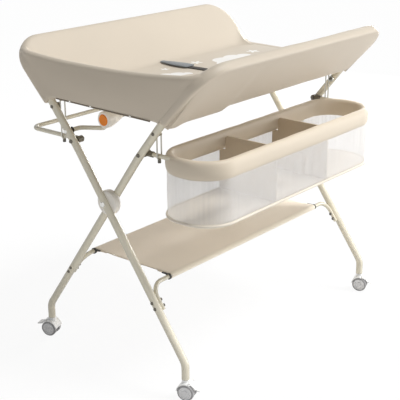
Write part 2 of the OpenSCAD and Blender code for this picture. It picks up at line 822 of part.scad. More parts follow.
// A wedge of the ring round the axle, from angle a0 to a1 above the trailing side
module ring_sector(r0, r1, w, a0, a1) {
    translate([0, trail, wheel_r])
        rotate([90, 0, 90])
            translate([0, 0, -w / 2])
                rotate([0, 0, a0])
                    rotate_extrude(angle = a1 - a0, $fn = 72)
                        translate([r0, 0])
                            square([r1 - r0, w]);
}
// The fork and the pin of its pedal
module castor_fork(k) {
    stem_top = foot_z + plug_l + run_gap;
    color("#e9e8e6")
        castor_at(k) {
            difference() {
                union() {
                    across(0, trail, wheel_r, wheel_r - 6, web_w + 1);
                    ring_sector(2, wheel_r + pocket_gap + 0.5, web_w + 1.2, 78, 150);
                    ring_sector(wheel_r, hood_r, castor_w, pin_angle, 172);
                    translate([0, 0, wheel_d - 4])
                        cylinder(h = boss_top - wheel_d + 4, r = boss_r);
                    translate([0, 0, wheel_d - 8])
                        cylinder(h = stem_top - wheel_d + 9, r = stem_d / 2);
                    translate([0, 0, stem_top])
                        cylinder(h = 2.5, r1 = stem_d / 2 + barb, r2 = stem_d / 2 - 1);
                    for (e = ENDS)
                        across(e * (castor_w / 2 - 1.6), pin_y, pin_z, ear_r, 4);
                }
                for (e = ENDS)
                    across(e * (wheel_x + wheel_w / 2), trail, wheel_r, wheel_r + pocket_gap,
                        wheel_w + pocket_gap);
                across(0, trail, wheel_r, axle_d / 2 + run_gap, web_w + 2);
                across(0, pin_y, pin_z, pin_d / 2 + seat_gap, castor_w + 2);
                across(0, pin_y, pin_z, ear_r + 0.5, pedal_w + 1);
            }
            across(0, pin_y, pin_z, pin_d / 2, castor_w);
        }
}
module castor_tyres(k) {
    color("#77767a")
        castor_at(k)
            for (e = ENDS)
                translate([e * (wheel_x + wheel_w / 2), trail, wheel_r])
                    rotate([0, 90, 0])
                        rotate_extrude($fn = 72)
                            polygon([
                                [wheel_r - tyre_t, -wheel_w / 2 + 1], [wheel_r - 1.5, -wheel_w / 2 + 1],
                                [wheel_r, -wheel_w / 2 + 2.5], [wheel_r, wheel_w / 2 - 2.5],
                                [wheel_r - 1.5, wheel_w / 2 - 1], [wheel_r - tyre_t, wheel_w / 2 - 1]]);
}
// The wheel discs and their axle
module castor_discs(k) {
    color("#c8c7c8")
        castor_at(k) {
            for (e = ENDS)
                translate([e * (wheel_x + wheel_w / 2), trail, wheel_r])
                    rotate([0, e * 90, 0])
                        rotate_extrude($fn = 72)
                            polygon([
                                [axle_d / 2 + seat_gap, -wheel_w / 2],
                                [wheel_r - tyre_t - seat_gap, -wheel_w / 2],
                                [wheel_r - tyre_t - seat_gap, wheel_w / 2],
                                [wheel_r - tyre_t - 3, wheel_w / 2],
                                [wheel_r - tyre_t - 5, wheel_w / 2 - 1.5], [axle_d + 3, wheel_w / 2 - 1.5],
                                [axle_d + 1.5, wheel_w / 2], [axle_d / 2 + seat_gap, wheel_w / 2]]);
            across(0, trail, wheel_r, axle_d / 2, castor_w);
        }
}
// The pedal is drawn closed on the tyres, then turned up about its pin to the open pose.
module castor_pedal(k) {
    color("#dddbd8")
        castor_at(k)
            translate([0, pin_y, pin_z])
                rotate([pedal_open, 0, 0])
                    translate([0, -pin_y, -pin_z])
                        difference() {
                            union() {
                                across(0, pin_y, pin_z, ear_r, pedal_w - 0.6);
                                ring_sector(wheel_r - 1, hood_r, pedal_w, 22, pin_angle);
                                translate([
                                    -pedal_w / 2,
                                    trail + (wheel_r + 1) * cos(24),
                                    wheel_r + wheel_r * sin(24)])
                                    rotate([-20, 0, 0])
                                        cube([pedal_w, 15, 3]);
                            }
                            across(0, pin_y, pin_z, pin_d / 2 + run_gap, pedal_w + 2);
                            across(0, trail, wheel_r, wheel_r + brake_gap, pedal_w + 2);
                        }
}
module castor_nf_fork() { castor_fork(0); }
module castor_nf_tyres() { castor_tyres(0); }
module castor_nf_discs() { castor_discs(0); }
module castor_nf_pedal() { castor_pedal(0); }
module castor_nb_fork() { castor_fork(1); }
module castor_nb_tyres() { castor_tyres(1); }
module castor_nb_discs() { castor_discs(1); }
module castor_nb_pedal() { castor_pedal(1); }
module castor_ff_fork() { castor_fork(2); }
module castor_ff_tyres() { castor_tyres(2); }
module castor_ff_discs() { castor_discs(2); }
module castor_ff_pedal() { castor_pedal(2); }
module castor_fb_fork() { castor_fork(3); }
module castor_fb_tyres() { castor_tyres(3); }
module castor_fb_discs() { castor_discs(3); }
module castor_fb_pedal() { castor_pedal(3); }

frame_a_leg_near();
frame_a_leg_far();
frame_a_top_rail();
frame_a_hub_covers();
hub_bolts();
frame_a_screws();
brace_pins();
frame_a_foot_plugs();
frame_a_shelf_tube();
frame_a_shelf_clips();
frame_a_hangers();
shelf_cloth();
tray_back_wall();
tray_bed();
tray_head_panel();
tray_foot_lip();
strap_web();
strap_pad();
strap_buckle();
frame_b_leg_near();
frame_b_leg_far();
frame_b_top_rail();
frame_b_hub_covers();
frame_b_screws();
frame_b_foot_plugs();
frame_b_shelf_tube();
frame_b_shelf_clips();
frame_b_hangers();
tray_front_wall();
back_rail();
back_rail_eyes();
front_rail();
front_rail_eyes();
basket_rim();
basket_mesh_sides();
basket_mesh_ends();
basket_floor();
basket_dividers();
brace_tube();
brace_bushes();
lock_housing();
lock_button();
castor_nf_fork();
castor_nf_tyres();
castor_nf_discs();
castor_nf_pedal();
castor_nb_fork();
castor_nb_tyres();
castor_nb_discs();
castor_nb_pedal();
castor_ff_fork();
castor_ff_tyres();
castor_ff_discs();
castor_ff_pedal();
castor_fb_fork();
castor_fb_tyres();
castor_fb_discs();
castor_fb_pedal();
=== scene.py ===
"""Folding changing table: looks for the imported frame. All lengths are in metres, in the frame's own axes."""
import math

import bmesh
import bpy
import numpy as np
from mathutils import Matrix, Vector


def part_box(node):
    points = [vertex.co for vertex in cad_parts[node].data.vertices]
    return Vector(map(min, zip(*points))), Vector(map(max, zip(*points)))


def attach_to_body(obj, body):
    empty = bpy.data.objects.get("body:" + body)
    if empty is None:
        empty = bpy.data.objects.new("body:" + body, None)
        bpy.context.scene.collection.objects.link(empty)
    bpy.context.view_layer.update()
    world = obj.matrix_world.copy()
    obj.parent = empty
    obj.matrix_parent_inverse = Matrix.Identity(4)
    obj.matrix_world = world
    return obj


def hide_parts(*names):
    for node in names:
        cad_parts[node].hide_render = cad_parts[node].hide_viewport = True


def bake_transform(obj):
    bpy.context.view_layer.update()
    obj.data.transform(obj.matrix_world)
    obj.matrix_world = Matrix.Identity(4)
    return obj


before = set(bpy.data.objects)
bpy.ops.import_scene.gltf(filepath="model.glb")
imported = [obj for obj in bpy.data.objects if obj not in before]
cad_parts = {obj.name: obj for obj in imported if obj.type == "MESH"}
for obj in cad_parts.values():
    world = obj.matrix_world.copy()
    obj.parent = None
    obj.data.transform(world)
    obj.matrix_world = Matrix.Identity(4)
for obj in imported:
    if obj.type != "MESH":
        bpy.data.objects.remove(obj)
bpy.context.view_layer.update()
scene = bpy.context.scene


# ---------------------------------------------------------------- camera
def place_camera(place, yaw, pitch, lens, shift_x):
    """A camera at place, turned from +X towards +Y by yaw and down by pitch, both in degrees."""
    data = bpy.data.cameras.new("camera")
    data.lens = lens
    data.sensor_width = 36.0
    data.shift_x = shift_x
    data.clip_end = 200.0
    camera = bpy.data.objects.new("camera", data)
    scene.collection.objects.link(camera)
    a, p = math.radians(yaw), math.radians(pitch)
    ahead = Vector((math.cos(a) * math.cos(p), math.sin(a) * math.cos(p), -math.sin(p)))
    camera.matrix_world = Matrix.Translation(place) @ ahead.to_track_quat("-Z", "Y").to_matrix().to_4x4()
    scene.camera = camera


place_camera(place=(-2.1415, -1.7458, 1.3568), yaw=38.9, pitch=19.6, lens=87.31, shift_x=-0.037)


# ---------------------------------------------------------------- meshes from numpy grids
def grid_faces(rows, cols, close_rows=False, close_cols=False):
    """Quads between neighbouring grid points; a closed direction joins its last line to its first."""
    i = np.arange(rows if close_rows else rows - 1)
    j = np.arange(cols if close_cols else cols - 1)
    a, b = np.meshgrid(i, j, indexing="ij")
    a2, b2 = (a + 1) % rows, (b + 1) % cols
    return np.stack([a * cols + b, a2 * cols + b, a2 * cols + b2, a * cols + b2], -1).reshape(-1, 4)


def mesh_piece(name, points, faces, body=None, merge=0.0):
    """A smooth-shaded mesh object from an array of points and a list of faces, with normals outwards."""
    mesh = bpy.data.meshes.new(name)
    points = np.asarray(points, float).reshape(-1, 3)
    mesh.from_pydata(points.tolist(), [], [list(map(int, f)) for f in faces])
    work = bmesh.new()
    work.from_mesh(mesh)
    if merge:
        bmesh.ops.remove_doubles(work, verts=work.verts, dist=merge)
        bmesh.ops.dissolve_degenerate(work, dist=merge, edges=work.edges)
    bmesh.ops.recalc_face_normals(work, faces=work.faces)
    work.to_mesh(mesh)
    work.free()
    mesh.polygons.foreach_set("use_smooth", np.ones(len(mesh.polygons), bool))
    piece = bpy.data.objects.new(name, mesh)
    scene.collection.objects.link(piece)
    if body:
        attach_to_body(piece, body)
    return piece


def squared(wave, power):
    """A sine or cosine with its sign kept and its size raised to a power: below 1 an oval grows squarer."""
    return np.sign(wave) * np.abs(wave) ** power


def around(count):
    """Evenly spaced angles once round a circle, without the last one, which would repeat the first."""
    return np.linspace(0, 2 * np.pi, count + 1)[:-1]


def finer(piece):
    """One level of smoothing over a piece's own grid."""
    smooth = piece.modifiers.new("smooth", "SUBSURF")
    smooth.levels = smooth.render_levels = 1


def thicken(piece, thickness):
    """Gives a sheet its thickness, half to each side."""
    thick = piece.modifiers.new("thickness", "SOLIDIFY")
    thick.thickness, thick.offset = thickness, 0.0


def carried_profile(path, ups, profile, close_path=False):
    """A closed profile, given as (sideways, up) offsets, carried along a path.
    Sideways is the path's direction crossed with up, so each ring is path + side * s + up * t."""
    path, ups, profile = np.asarray(path, float), np.asarray(ups, float), np.asarray(profile, float)
    if close_path:
        ahead = np.roll(path, -1, 0) - np.roll(path, 1, 0)
    else:
        ahead = np.gradient(path, axis=0)
    ahead /= np.linalg.norm(ahead, axis=1, keepdims=True)
    side = np.cross(ahead, ups)
    side /= np.linalg.norm(side, axis=1, keepdims=True)
    up = np.cross(side, ahead)
    s = profile[..., 0][..., None] if profile.ndim == 3 else profile[None, :, 0, None]
    t = profile[..., 1][..., None] if profile.ndim == 3 else profile[None, :, 1, None]
    return path[:, None, :] + side[:, None, :] * s + up[:, None, :] * t


def closed_tube(name, rings, body=None):
    """A tube of rings whose two ends are closed by fans round their centres."""
    rows, cols = rings.shape[:2]
    points = np.concatenate([rings.reshape(-1, 3), rings[:1].mean(1), rings[-1:].mean(1)])
    j, end = np.arange(cols), (rows - 1) * cols
    first = np.stack([np.full(cols, rows * cols), (j + 1) % cols, j], -1)
    last = np.stack([np.full(cols, rows * cols + 1), end + j, end + (j + 1) % cols], -1)
    faces = grid_faces(rows, cols, close_cols=True).tolist() + first.tolist() + last.tolist()
    return mesh_piece(name, points, faces, body)


def soft_wave(x, y, scale, seed, waves=7):
    """A smooth random-looking height: a mean of sine waves with directions and phases from a fixed seed."""
    rng = np.random.default_rng(seed)
    total = np.zeros(np.broadcast(x, y).shape)
    for _ in range(waves):
        turn, phase, size = rng.uniform(0, 2 * np.pi), rng.uniform(0, 2 * np.pi), rng.uniform(0.6, 1.7)
        total += np.sin((x * np.cos(turn) + y * np.sin(turn)) * size / scale + phase)
    return total / waves


# ---------------------------------------------------------------- shader groups
def srgb(red, green, blue):
    """A colour written as 0 to 255, as linear light with alpha 1."""
    c = np.array([red, green, blue]) / 255.0
    c = np.where(c <= 0.04045, c / 12.92, ((c + 0.055) / 1.055) ** 2.4)
    return (*[float(v) for v in c], 1.0)


def new_group(name, inputs, outputs):
    """A shader node group with named inputs and outputs; returns its tree and its two end nodes."""
    tree = bpy.data.node_groups.new(name, "ShaderNodeTree")
    for label, kind, value in inputs:
        socket = tree.interface.new_socket(label, in_out="INPUT", socket_type="NodeSocket" + kind)
        if value is not None:
            socket.default_value = value
    for label, kind in outputs:
        tree.interface.new_socket(label, in_out="OUTPUT", socket_type="NodeSocket" + kind)
    return tree, tree.nodes.new("NodeGroupInput"), tree.nodes.new("NodeGroupOutput")


def node(tree, kind, values=None, links=None, **settings):
    """A shader node with its settings, its plain input values and its linked inputs."""
    made = tree.nodes.new("ShaderNode" + kind)
    for key, value in settings.items():
        setattr(made, key, value)
    for key, value in (values or {}).items():
        made.inputs[key].default_value = value
    for key, socket in (links or {}).items():
        tree.links.new(socket, made.inputs[key])
    return made


def math_node(tree, operation, a, b=None, c=None, clamp=False):
    """A sum worked out by a node; each of its terms is a number or a socket."""
    made = tree.nodes.new("ShaderNodeMath")
    made.operation, made.use_clamp = operation, clamp
    for place, value in enumerate((a, b, c)):
        if value is None:
            continue
        if isinstance(value, (int, float)):
            made.inputs[place].default_value = value
        else:
            tree.links.new(value, made.inputs[place])
    return made.outputs[0]


def colour_mix(tree, factor, a, b, blend="MIX"):
    """Colour a with colour b mixed in by factor; each of the three is a value or a socket."""
    made = tree.nodes.new("ShaderNodeMix")
    made.data_type, made.blend_type = "RGBA", blend
    for place, value in ((0, factor), (6, a), (7, b)):
        if isinstance(value, (int, float, tuple)):
            made.inputs[place].default_value = value
        else:
            tree.links.new(value, made.inputs[place])
    return made.outputs[2]


def shaded(tree, tone, shade):
    """A tone made darker or lighter by a grey shade, where 1 leaves it as it is."""
    grey = node(tree, "CombineColor", {}, {"Red": shade, "Green": shade, "Blue": shade})
    return colour_mix(tree, 1.0, tone, grey.outputs[0], "MULTIPLY")


def give_out(tree, out, *sockets):
    """Links the sockets to a group's outputs, in their order."""
    for place, socket in enumerate(sockets):
        tree.links.new(socket, out.inputs[place])


WHITE = (1, 1, 1, 1)
SURFACE = [("Height", "Float"), ("Color", "Color"), ("Roughness", "Float")]


def leather_grain_group():
    """Fine pebbled grain of wipe-clean synthetic leather, with slow changes of tone."""
    tree, given, out = new_group(
        "LeatherGrain",
        [("Vector", "Vector", None), ("Scale", "Float", 900.0), ("Tone", "Color", WHITE),
         ("Tone change", "Float", 0.06)],
        SURFACE)
    place, scale, tone, change = given.outputs[:4]
    cells = node(tree, "TexVoronoi", {"Randomness": 0.9}, {"Vector": place, "Scale": scale})
    fine = node(tree, "TexNoise", {"Scale": 320.0, "Detail": 4.0}, {"Vector": place})
    slow = node(tree, "TexNoise", {"Scale": 5.0, "Detail": 3.0}, {"Vector": place})
    pits = math_node(tree, "MULTIPLY", fine.outputs[0], 0.5)
    height = math_node(tree, "ADD", cells.outputs["Distance"], pits)
    shade = math_node(tree, "MULTIPLY_ADD", math_node(tree, "SUBTRACT", slow.outputs[0], 0.5), change, 1.0)
    rough = math_node(tree, "MULTIPLY_ADD", fine.outputs[0], 0.16, 0.44)
    give_out(tree, out, height, shaded(tree, tone, shade), rough)
    return tree


def weave_group():
    """Plain weave: two crossed sets of threads that pass over and under each other."""
    tree, given, out = new_group(
        "PlainWeave",
        [("Vector", "Vector", None), ("Threads", "Float", 900.0), ("Tone", "Color", WHITE),
         ("Contrast", "Float", 0.12)],
        SURFACE)
    place, threads, tone, contrast = given.outputs[:4]
    split = node(tree, "SeparateXYZ", {}, {"Vector": place})
    across = math_node(tree, "SINE", math_node(tree, "MULTIPLY", split.outputs[0], threads))
    along = math_node(tree, "SINE", math_node(tree, "MULTIPLY", split.outputs[1], threads))
    over = math_node(tree, "MULTIPLY_ADD", math_node(tree, "MULTIPLY", across, along), 0.5, 0.5)
    fuzz = node(tree, "TexNoise", {"Scale": 260.0, "Detail": 5.0}, {"Vector": place})
    slow = node(tree, "TexNoise", {"Scale": 6.0, "Detail": 3.0}, {"Vector": place})
    height = math_node(tree, "MULTIPLY_ADD", fuzz.outputs[0], 0.4, over)
    dark = math_node(tree, "MULTIPLY", math_node(tree, "SUBTRACT", over, 0.5), contrast)
    shade = math_node(tree, "ADD", math_node(tree, "MULTIPLY_ADD", slow.outputs[0], 0.08, 0.96), dark)
    rough = math_node(tree, "MULTIPLY_ADD", fuzz.outputs[0], 0.15, 0.75)
    give_out(tree, out, height, shaded(tree, tone, shade), rough)
    return tree


def smooth_finish_group():
    """Moulded plastic, enamel or plated metal: faint orange peel, dusty tone and smears in the gloss."""
    tree, given, out = new_group(
        "SmoothFinish",
        [("Vector", "Vector", None), ("Tone", "Color", WHITE), ("Gloss", "Float", 0.3),
         ("Peel", "Float", 220.0), ("Dust", "Float", 0.05)],
        SURFACE)
    place, tone, gloss, peel_scale, dust = given.outputs[:5]
    peel = node(tree, "TexNoise", {"Detail": 2.0}, {"Vector": place, "Scale": peel_scale})
    smear = node(tree, "TexNoise", {"Scale": 24.0, "Detail": 5.0, "Distortion": 0.6}, {"Vector": place})
    shade = math_node(tree, "MULTIPLY_ADD", math_node(tree, "SUBTRACT", smear.outputs[0], 0.5), dust, 1.0)
    least = math_node(tree, "SUBTRACT", gloss, 0.09)
    rough = math_node(tree, "MULTIPLY_ADD", smear.outputs[0], 0.18, least, clamp=True)
    give_out(tree, out, peel.outputs[0], shaded(tree, tone, shade), rough)
    return tree


def net_group():
    """Open net: round holes in a staggered layout, as an alpha mask, which slow upright folds thicken.
    The vector runs round the basket and up, in metres."""
    tree, given, out = new_group(
        "OpenNet",
        [("Vector", "Vector", None), ("Pitch", "Float", 520.0), ("Hole", "Float", 0.47),
         ("Veil", "Float", 0.06), ("Folds", "Float", 0.16)],
        [("Alpha", "Float"), ("Height", "Float")])
    place, pitch, hole, veil, fold_depth = given.outputs[:5]
    scaled = node(tree, "VectorMath", {}, {0: place, "Scale": pitch}, operation="SCALE")
    cells = node(tree, "TexVoronoi", {"Scale": 1.0, "Randomness": 0.12}, {"Vector": scaled.outputs[0]},
                 voronoi_dimensions="2D")
    distance = cells.outputs["Distance"]
    thread = math_node(tree, "GREATER_THAN", distance, hole)
    along = node(tree, "VectorMath", {1: (150.0, 3.0, 1.0)}, {0: place}, operation="MULTIPLY")
    folds = node(tree, "TexNoise", {"Scale": 1.0, "Detail": 2.0}, {"Vector": along.outputs[0]})
    bunched = math_node(tree, "MULTIPLY", math_node(tree, "SUBTRACT", folds.outputs[0], 0.45), fold_depth)
    alpha = math_node(tree, "ADD", math_node(tree, "MAXIMUM", thread, veil), bunched, clamp=True)
    give_out(tree, out, alpha, distance)
    return tree


def motif_group():
    """Printed shapes on the bed as a mask: clouds made of overlapping discs on a flat base, and soft
    five-pointed stars, whose edge moves in and out with five waves round them.
    The vector is the place on the bed in metres."""
    tree, given, out = new_group("PrintedMotifs", [("Vector", "Vector", None)], [("Mask", "Float")])
    masks = []

    def placed(x, y, turn):
        """The vector, moved and turned so that one motif's middle is its zero."""
        moved = node(tree, "Mapping", {"Location": (x, y, 0), "Rotation": (0, 0, turn)},
                     {"Vector": given.outputs[0]}, vector_type="TEXTURE")
        return moved.outputs[0]

    def cloud(x, y, size, turn):
        """Where any of four discs is and the flat base lies below."""
        here = placed(x, y, turn)
        discs = None
        for across, up, radius in ((-0.62, 0.24, 0.26), (-0.22, 0.40, 0.40), (0.28, 0.34, 0.34),
                                   (0.66, 0.20, 0.22)):
            middle = (across * size, up * size, 0)
            away = node(tree, "VectorMath", {1: middle}, {0: here}, operation="DISTANCE")
            disc = math_node(tree, "LESS_THAN", away.outputs["Value"], radius * size)
            discs = disc if discs is None else math_node(tree, "MAXIMUM", discs, disc)
        split = node(tree, "SeparateXYZ", {}, {"Vector": here})
        above_base = math_node(tree, "GREATER_THAN", split.outputs[1], 0.04 * size)
        masks.append(math_node(tree, "MULTIPLY", discs, above_base))

    def star(x, y, size, turn):
        """Where the distance from the middle is less than a radius that has five waves."""
        split = node(tree, "SeparateXYZ", {}, {"Vector": placed(x, y, turn)})
        right, ahead = split.outputs[:2]
        angle = math_node(tree, "ARCTAN2", ahead, right)
        squares = [math_node(tree, "MULTIPLY", side, side) for side in (right, ahead)]
        away = math_node(tree, "SQRT", math_node(tree, "ADD", *squares))
        points = math_node(tree, "COSINE", math_node(tree, "MULTIPLY", angle, 5.0))
        edge = math_node(tree, "MULTIPLY_ADD", points, 0.30 * size, 0.62 * size)
        masks.append(math_node(tree, "LESS_THAN", away, edge))

    for x, y, size, turn in ((0.190, 0.030, 0.105, 0.25), (-0.110, 0.030, 0.070, -0.25),
                             (-0.265, -0.060, 0.060, 0.1)):
        cloud(x, y, size, turn)
    for x, y, size, turn in ((0.075, 0.115, 0.022, 0.3), (0.320, 0.085, 0.024, 0.0),
                             (-0.055, 0.125, 0.016, 0.6), (0.280, -0.075, 0.020, 0.9),
                             (-0.160, -0.100, 0.019, 0.2), (-0.270, 0.075, 0.020, 0.5),
                             (0.120, -0.110, 0.022, 0.1)):
        star(x, y, size, turn)
    whole = masks[0]
    for mask in masks[1:]:
        whole = math_node(tree, "MAXIMUM", whole, mask)
    give_out(tree, out, whole)
    return tree


GROUPS = {
    "motifs": motif_group(), "leather": leather_grain_group(), "weave": weave_group(),
    "smooth": smooth_finish_group(), "net": net_group(),
}


def new_material(name):
    """An empty material, with its node tree and its Principled shader."""
    made = bpy.data.materials.new(name)
    made.use_nodes = True
    return made, made.node_tree, made.node_tree.nodes["Principled BSDF"]


def put_group(tree, kind, place):
    """One of the groups, set into a material and reading the given place."""
    group = tree.nodes.new("ShaderNodeGroup")
    group.node_tree = GROUPS[kind]
    tree.links.new(place, group.inputs["Vector"])
    return group


def bump_from(tree, height, strength, distance):
    """A normal that is raised by a group's height."""
    return node(tree, "Bump", {"Strength": strength, "Distance": distance}, {"Height": height}).outputs[0]


def recolour(made, amount, tone):
    """Mixes another tone into a material's colour by an amount from 0 to 1."""
    tree = made.node_tree
    colour = tree.nodes["Principled BSDF"].inputs["Base Color"]
    tree.links.new(colour_mix(tree, amount, colour.links[0].from_socket, tone), colour)


def material(name, kind, tone, bump=0.1, distance=0.0003, shader=None, **values):
    """A Principled material whose colour, roughness and bump come from one of the finish groups."""
    made, tree, bsdf = new_material(name)
    group = put_group(tree, kind, node(tree, "TexCoord").outputs["Object"])
    group.inputs["Tone"].default_value = tone
    for key, value in values.items():
        group.inputs[key.replace("_", " ")].default_value = value
    tree.links.new(group.outputs["Color"], bsdf.inputs["Base Color"])
    tree.links.new(group.outputs["Roughness"], bsdf.inputs["Roughness"])
    tree.links.new(bump_from(tree, group.outputs["Height"], bump, distance), bsdf.inputs["Normal"])
    for key, value in (shader or {}).items():
        bsdf.inputs[key].default_value = value
    return made


enamel = material("warm_grey_enamel", "smooth", srgb(236, 229, 209), 0.05, 0.0002,
                  {"Coat Weight": 0.35, "Coat Roughness": 0.15}, Gloss=0.30, Peel=260.0)


def with_dark_edges(made, edge, reach):
    """Painted shade: the colour deepens to another tone where the surface turns away from the eye, so a tube's
    sides look shaded.
    """
    facing = node(made.node_tree, "LayerWeight", {"Blend": 0.5})
    recolour(made, math_node(made.node_tree, "POWER", facing.outputs["Facing"], reach, clamp=True), edge)


# Painted shade on the enamel: its colour darkens to olive grey along the tubes' sides, which turn away from
# the eye.
with_dark_edges(enamel, srgb(150, 144, 118), 1.6)
METAL = {"Metallic": 1.0}
chrome = material("polished_steel", "smooth", srgb(214, 214, 210), 0.03, 0.0001, METAL, Gloss=0.16)
WIRE = ("smooth", srgb(186, 184, 176), 0.05, 0.0001, METAL)
KNOB_DARK, KNOB_TALL = srgb(92, 88, 80), 0.0085
back_wire = material("back_drawn_wire", *WIRE, Gloss=0.28)
front_wire = material("front_drawn_wire", *WIRE, Gloss=0.28)


def with_dark_knobs(made, stirrups):
    """The stirrups' lowest stretch, which is their knobs, is dark plastic and the rest stays wire."""
    tree = made.node_tree
    split = node(tree, "SeparateXYZ", {}, {"Vector": node(tree, "TexCoord").outputs["Object"]})
    knob = math_node(tree, "LESS_THAN", split.outputs[2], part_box(stirrups)[0].z + KNOB_TALL)
    recolour(made, knob, KNOB_DARK)
    metal = math_node(tree, "SUBTRACT", 1.0, knob)
    tree.links.new(metal, tree.nodes["Principled BSDF"].inputs["Metallic"])


with_dark_knobs(back_wire, "frame_a_hangers")
with_dark_knobs(front_wire, "frame_b_hangers")
zinc = material("dark_zinc", "smooth", srgb(104, 100, 92), 0.1, 0.0002, METAL, Gloss=0.34, Dust=0.15)
pale_plastic = material("pale_moulded_plastic", "smooth", srgb(250, 245, 236), 0.1, 0.0002,
                        Gloss=0.36, Peel=420.0)
foot_plastic = material("plug_plastic", "smooth", srgb(206, 201, 190), 0.1, 0.0002, Gloss=0.45, Peel=420.0)
dark_plastic = material("dark_grained_plastic", "smooth", srgb(58, 55, 50), 0.25, 0.0003,
                        Gloss=0.5, Peel=900.0)
eye_plastic = material("olive_grey_plastic", "smooth", srgb(118, 112, 98), 0.2, 0.0003,
                       Gloss=0.42, Peel=900.0)
orange_plastic = material("orange_button_plastic", "smooth", srgb(248, 138, 14), 0.08, 0.0002,
                          {"Coat Weight": 0.08}, Gloss=0.5, Peel=500.0)
white_plastic = material("castor_white_plastic", "smooth", srgb(247, 247, 246), 0.06, 0.0002,
                         {"Coat Weight": 0.2}, Gloss=0.28)
tyre_rubber = material("grey_tyre_rubber", "smooth", srgb(170, 169, 170), 0.3, 0.0004,
                       Gloss=0.62, Peel=1200.0, Dust=0.12)
disc_plastic = material("light_grey_disc_plastic", "smooth", srgb(232, 232, 233), 0.1, 0.0002, Gloss=0.4)
SOFT_SHEEN = {"Sheen Weight": 0.15, "Sheen Roughness": 0.5}
tray_leather = material("tray_synthetic_leather", "leather", srgb(209, 197, 179), 0.16, 0.0003, SOFT_SHEEN)


def printed(made, ink, layer):
    """Adds the printed motifs to a leather material: the ink replaces its colour where the mask is on."""
    tree = made.node_tree
    motifs = put_group(tree, "motifs", node(tree, "UVMap", uv_map=layer).outputs[0])
    recolour(made, motifs.outputs["Mask"], ink)


printed(tray_leather, srgb(246, 244, 240), "bed_place")
rim_leather = material("rim_synthetic_leather", "leather", srgb(219, 206, 186), 0.18, 0.0003, SOFT_SHEEN)
floor_leather = material("basket_floor_leather", "leather", srgb(232, 223, 208), 0.18, 0.0003)
trim_leather = material("dark_edge_binding", "leather", srgb(118, 106, 90), 0.2, 0.0003, Scale=1400.0)
shelf_cloth_finish = material("shelf_woven_cloth", "weave", srgb(252, 240, 222), 0.35, 0.0004,
                              {"Sheen Weight": 0.25}, Threads=2600.0)
hem_cloth = material("shelf_hem_cloth", "weave", srgb(246, 236, 218), 0.35, 0.0004,
                     {"Sheen Weight": 0.2}, Threads=3200.0)
divider_cloth = material("divider_cloth", "weave", srgb(204, 188, 165), 0.35, 0.0004,
                         {"Sheen Weight": 0.2}, Threads=3000.0)
strap_grey = material("strap_sleeve_grey", "weave", srgb(124, 129, 132), 0.4, 0.0005,
                      {"Sheen Weight": 0.3}, Threads=2400.0)
webbing_black = material("strap_webbing_dark", "weave", srgb(60, 56, 52), 0.5, 0.0006,
                         Threads=2400.0, Contrast=0.3)


def net_material():
    """White net with real see-through holes, and a soft sheen on its threads."""
    made, tree, bsdf = new_material("white_net")
    group = put_group(tree, "net", node(tree, "UVMap", uv_map="round_and_up").outputs[0])
    tree.links.new(group.outputs["Alpha"], bsdf.inputs["Alpha"])
    tree.links.new(bump_from(tree, group.outputs["Height"], 0.2, 0.0004), bsdf.inputs["Normal"])
    bsdf.inputs["Base Color"].default_value = srgb(248, 247, 246)
    bsdf.inputs["Roughness"].default_value = 0.6
    bsdf.inputs["Sheen Weight"].default_value = 0.3
    return made


white_net = net_material()


def dress(piece, finish):
    """Gives a piece its one finish."""
    piece.data.materials.clear()
    piece.data.materials.append(finish)
    return piece


# ---------------------------------------------------------------- rigid nodes get their finish
FINISHES = {
    "frame_a_leg_near": enamel, "frame_a_leg_far": enamel,
    "frame_a_top_rail": enamel, "frame_a_shelf_tube": enamel,
    "frame_b_leg_near": enamel, "frame_b_leg_far": enamel,
    "frame_b_top_rail": enamel, "frame_b_shelf_tube": enamel,
    "back_rail": enamel, "front_rail": enamel, "brace_tube": enamel,
    "hub_bolts": chrome, "frame_a_hangers": back_wire, "frame_b_hangers": front_wire, "brace_pins": chrome,
    "frame_a_screws": zinc, "frame_b_screws": zinc,
    "frame_a_hub_covers": pale_plastic, "frame_b_hub_covers": pale_plastic, "lock_housing": pale_plastic,
    "frame_a_foot_plugs": foot_plastic, "frame_b_foot_plugs": foot_plastic,
    "frame_a_shelf_clips": dark_plastic, "frame_b_shelf_clips": dark_plastic, "brace_bushes": dark_plastic,
    "back_rail_eyes": eye_plastic, "front_rail_eyes": eye_plastic, "lock_button": orange_plastic,
    "basket_dividers": divider_cloth,
}
for corner in ("nf", "nb", "ff", "fb"):
    FINISHES["castor_%s_fork" % corner] = white_plastic
    FINISHES["castor_%s_pedal" % corner] = white_plastic
    FINISHES["castor_%s_tyres" % corner] = tyre_rubber
    FINISHES["castor_%s_discs" % corner] = disc_plastic
for name, finish in FINISHES.items():
    dress(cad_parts[name], finish)


# ---------------------------------------------------------------- the tray
back_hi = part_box("tray_back_wall")[1]
front_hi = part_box("tray_front_wall")[1]
bed_lo, bed_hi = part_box("tray_bed")
head_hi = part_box("tray_head_panel")[1]
BED_Z, UNDER_Z = bed_hi.z, bed_lo.z
# The padding stands ROLL round the middle of the rim's tube. The walls' middle lines start at the seat line,
# beside the bed, and rise by LEAN from upright over the length WALL to the rim.
ROLL = 0.016
RIM_Y, RIM_Z = back_hi.y - ROLL, back_hi.z - ROLL
BACK_X, FRONT_X = back_hi.x - ROLL, front_hi.x - ROLL
SEAT_Y, SEAT_Z = 0.190, 0.737
LEAN = math.atan2(RIM_Y - SEAT_Y, RIM_Z - SEAT_Z)
WALL = math.hypot(RIM_Y - SEAT_Y, RIM_Z - SEAT_Z)
UP_Y, UP_Z = math.sin(LEAN), math.cos(LEAN)
IN_Y, IN_Z = -math.cos(LEAN), math.sin(LEAN)
WALL_OUT, WALL_IN = 0.0155, 0.0165
# The rim's tube turns down at each end by a bend of this radius; its straight leg is the rest of the wall.
BEND = 0.075
LEG_S = WALL - BEND
STRAIGHT = BACK_X - BEND
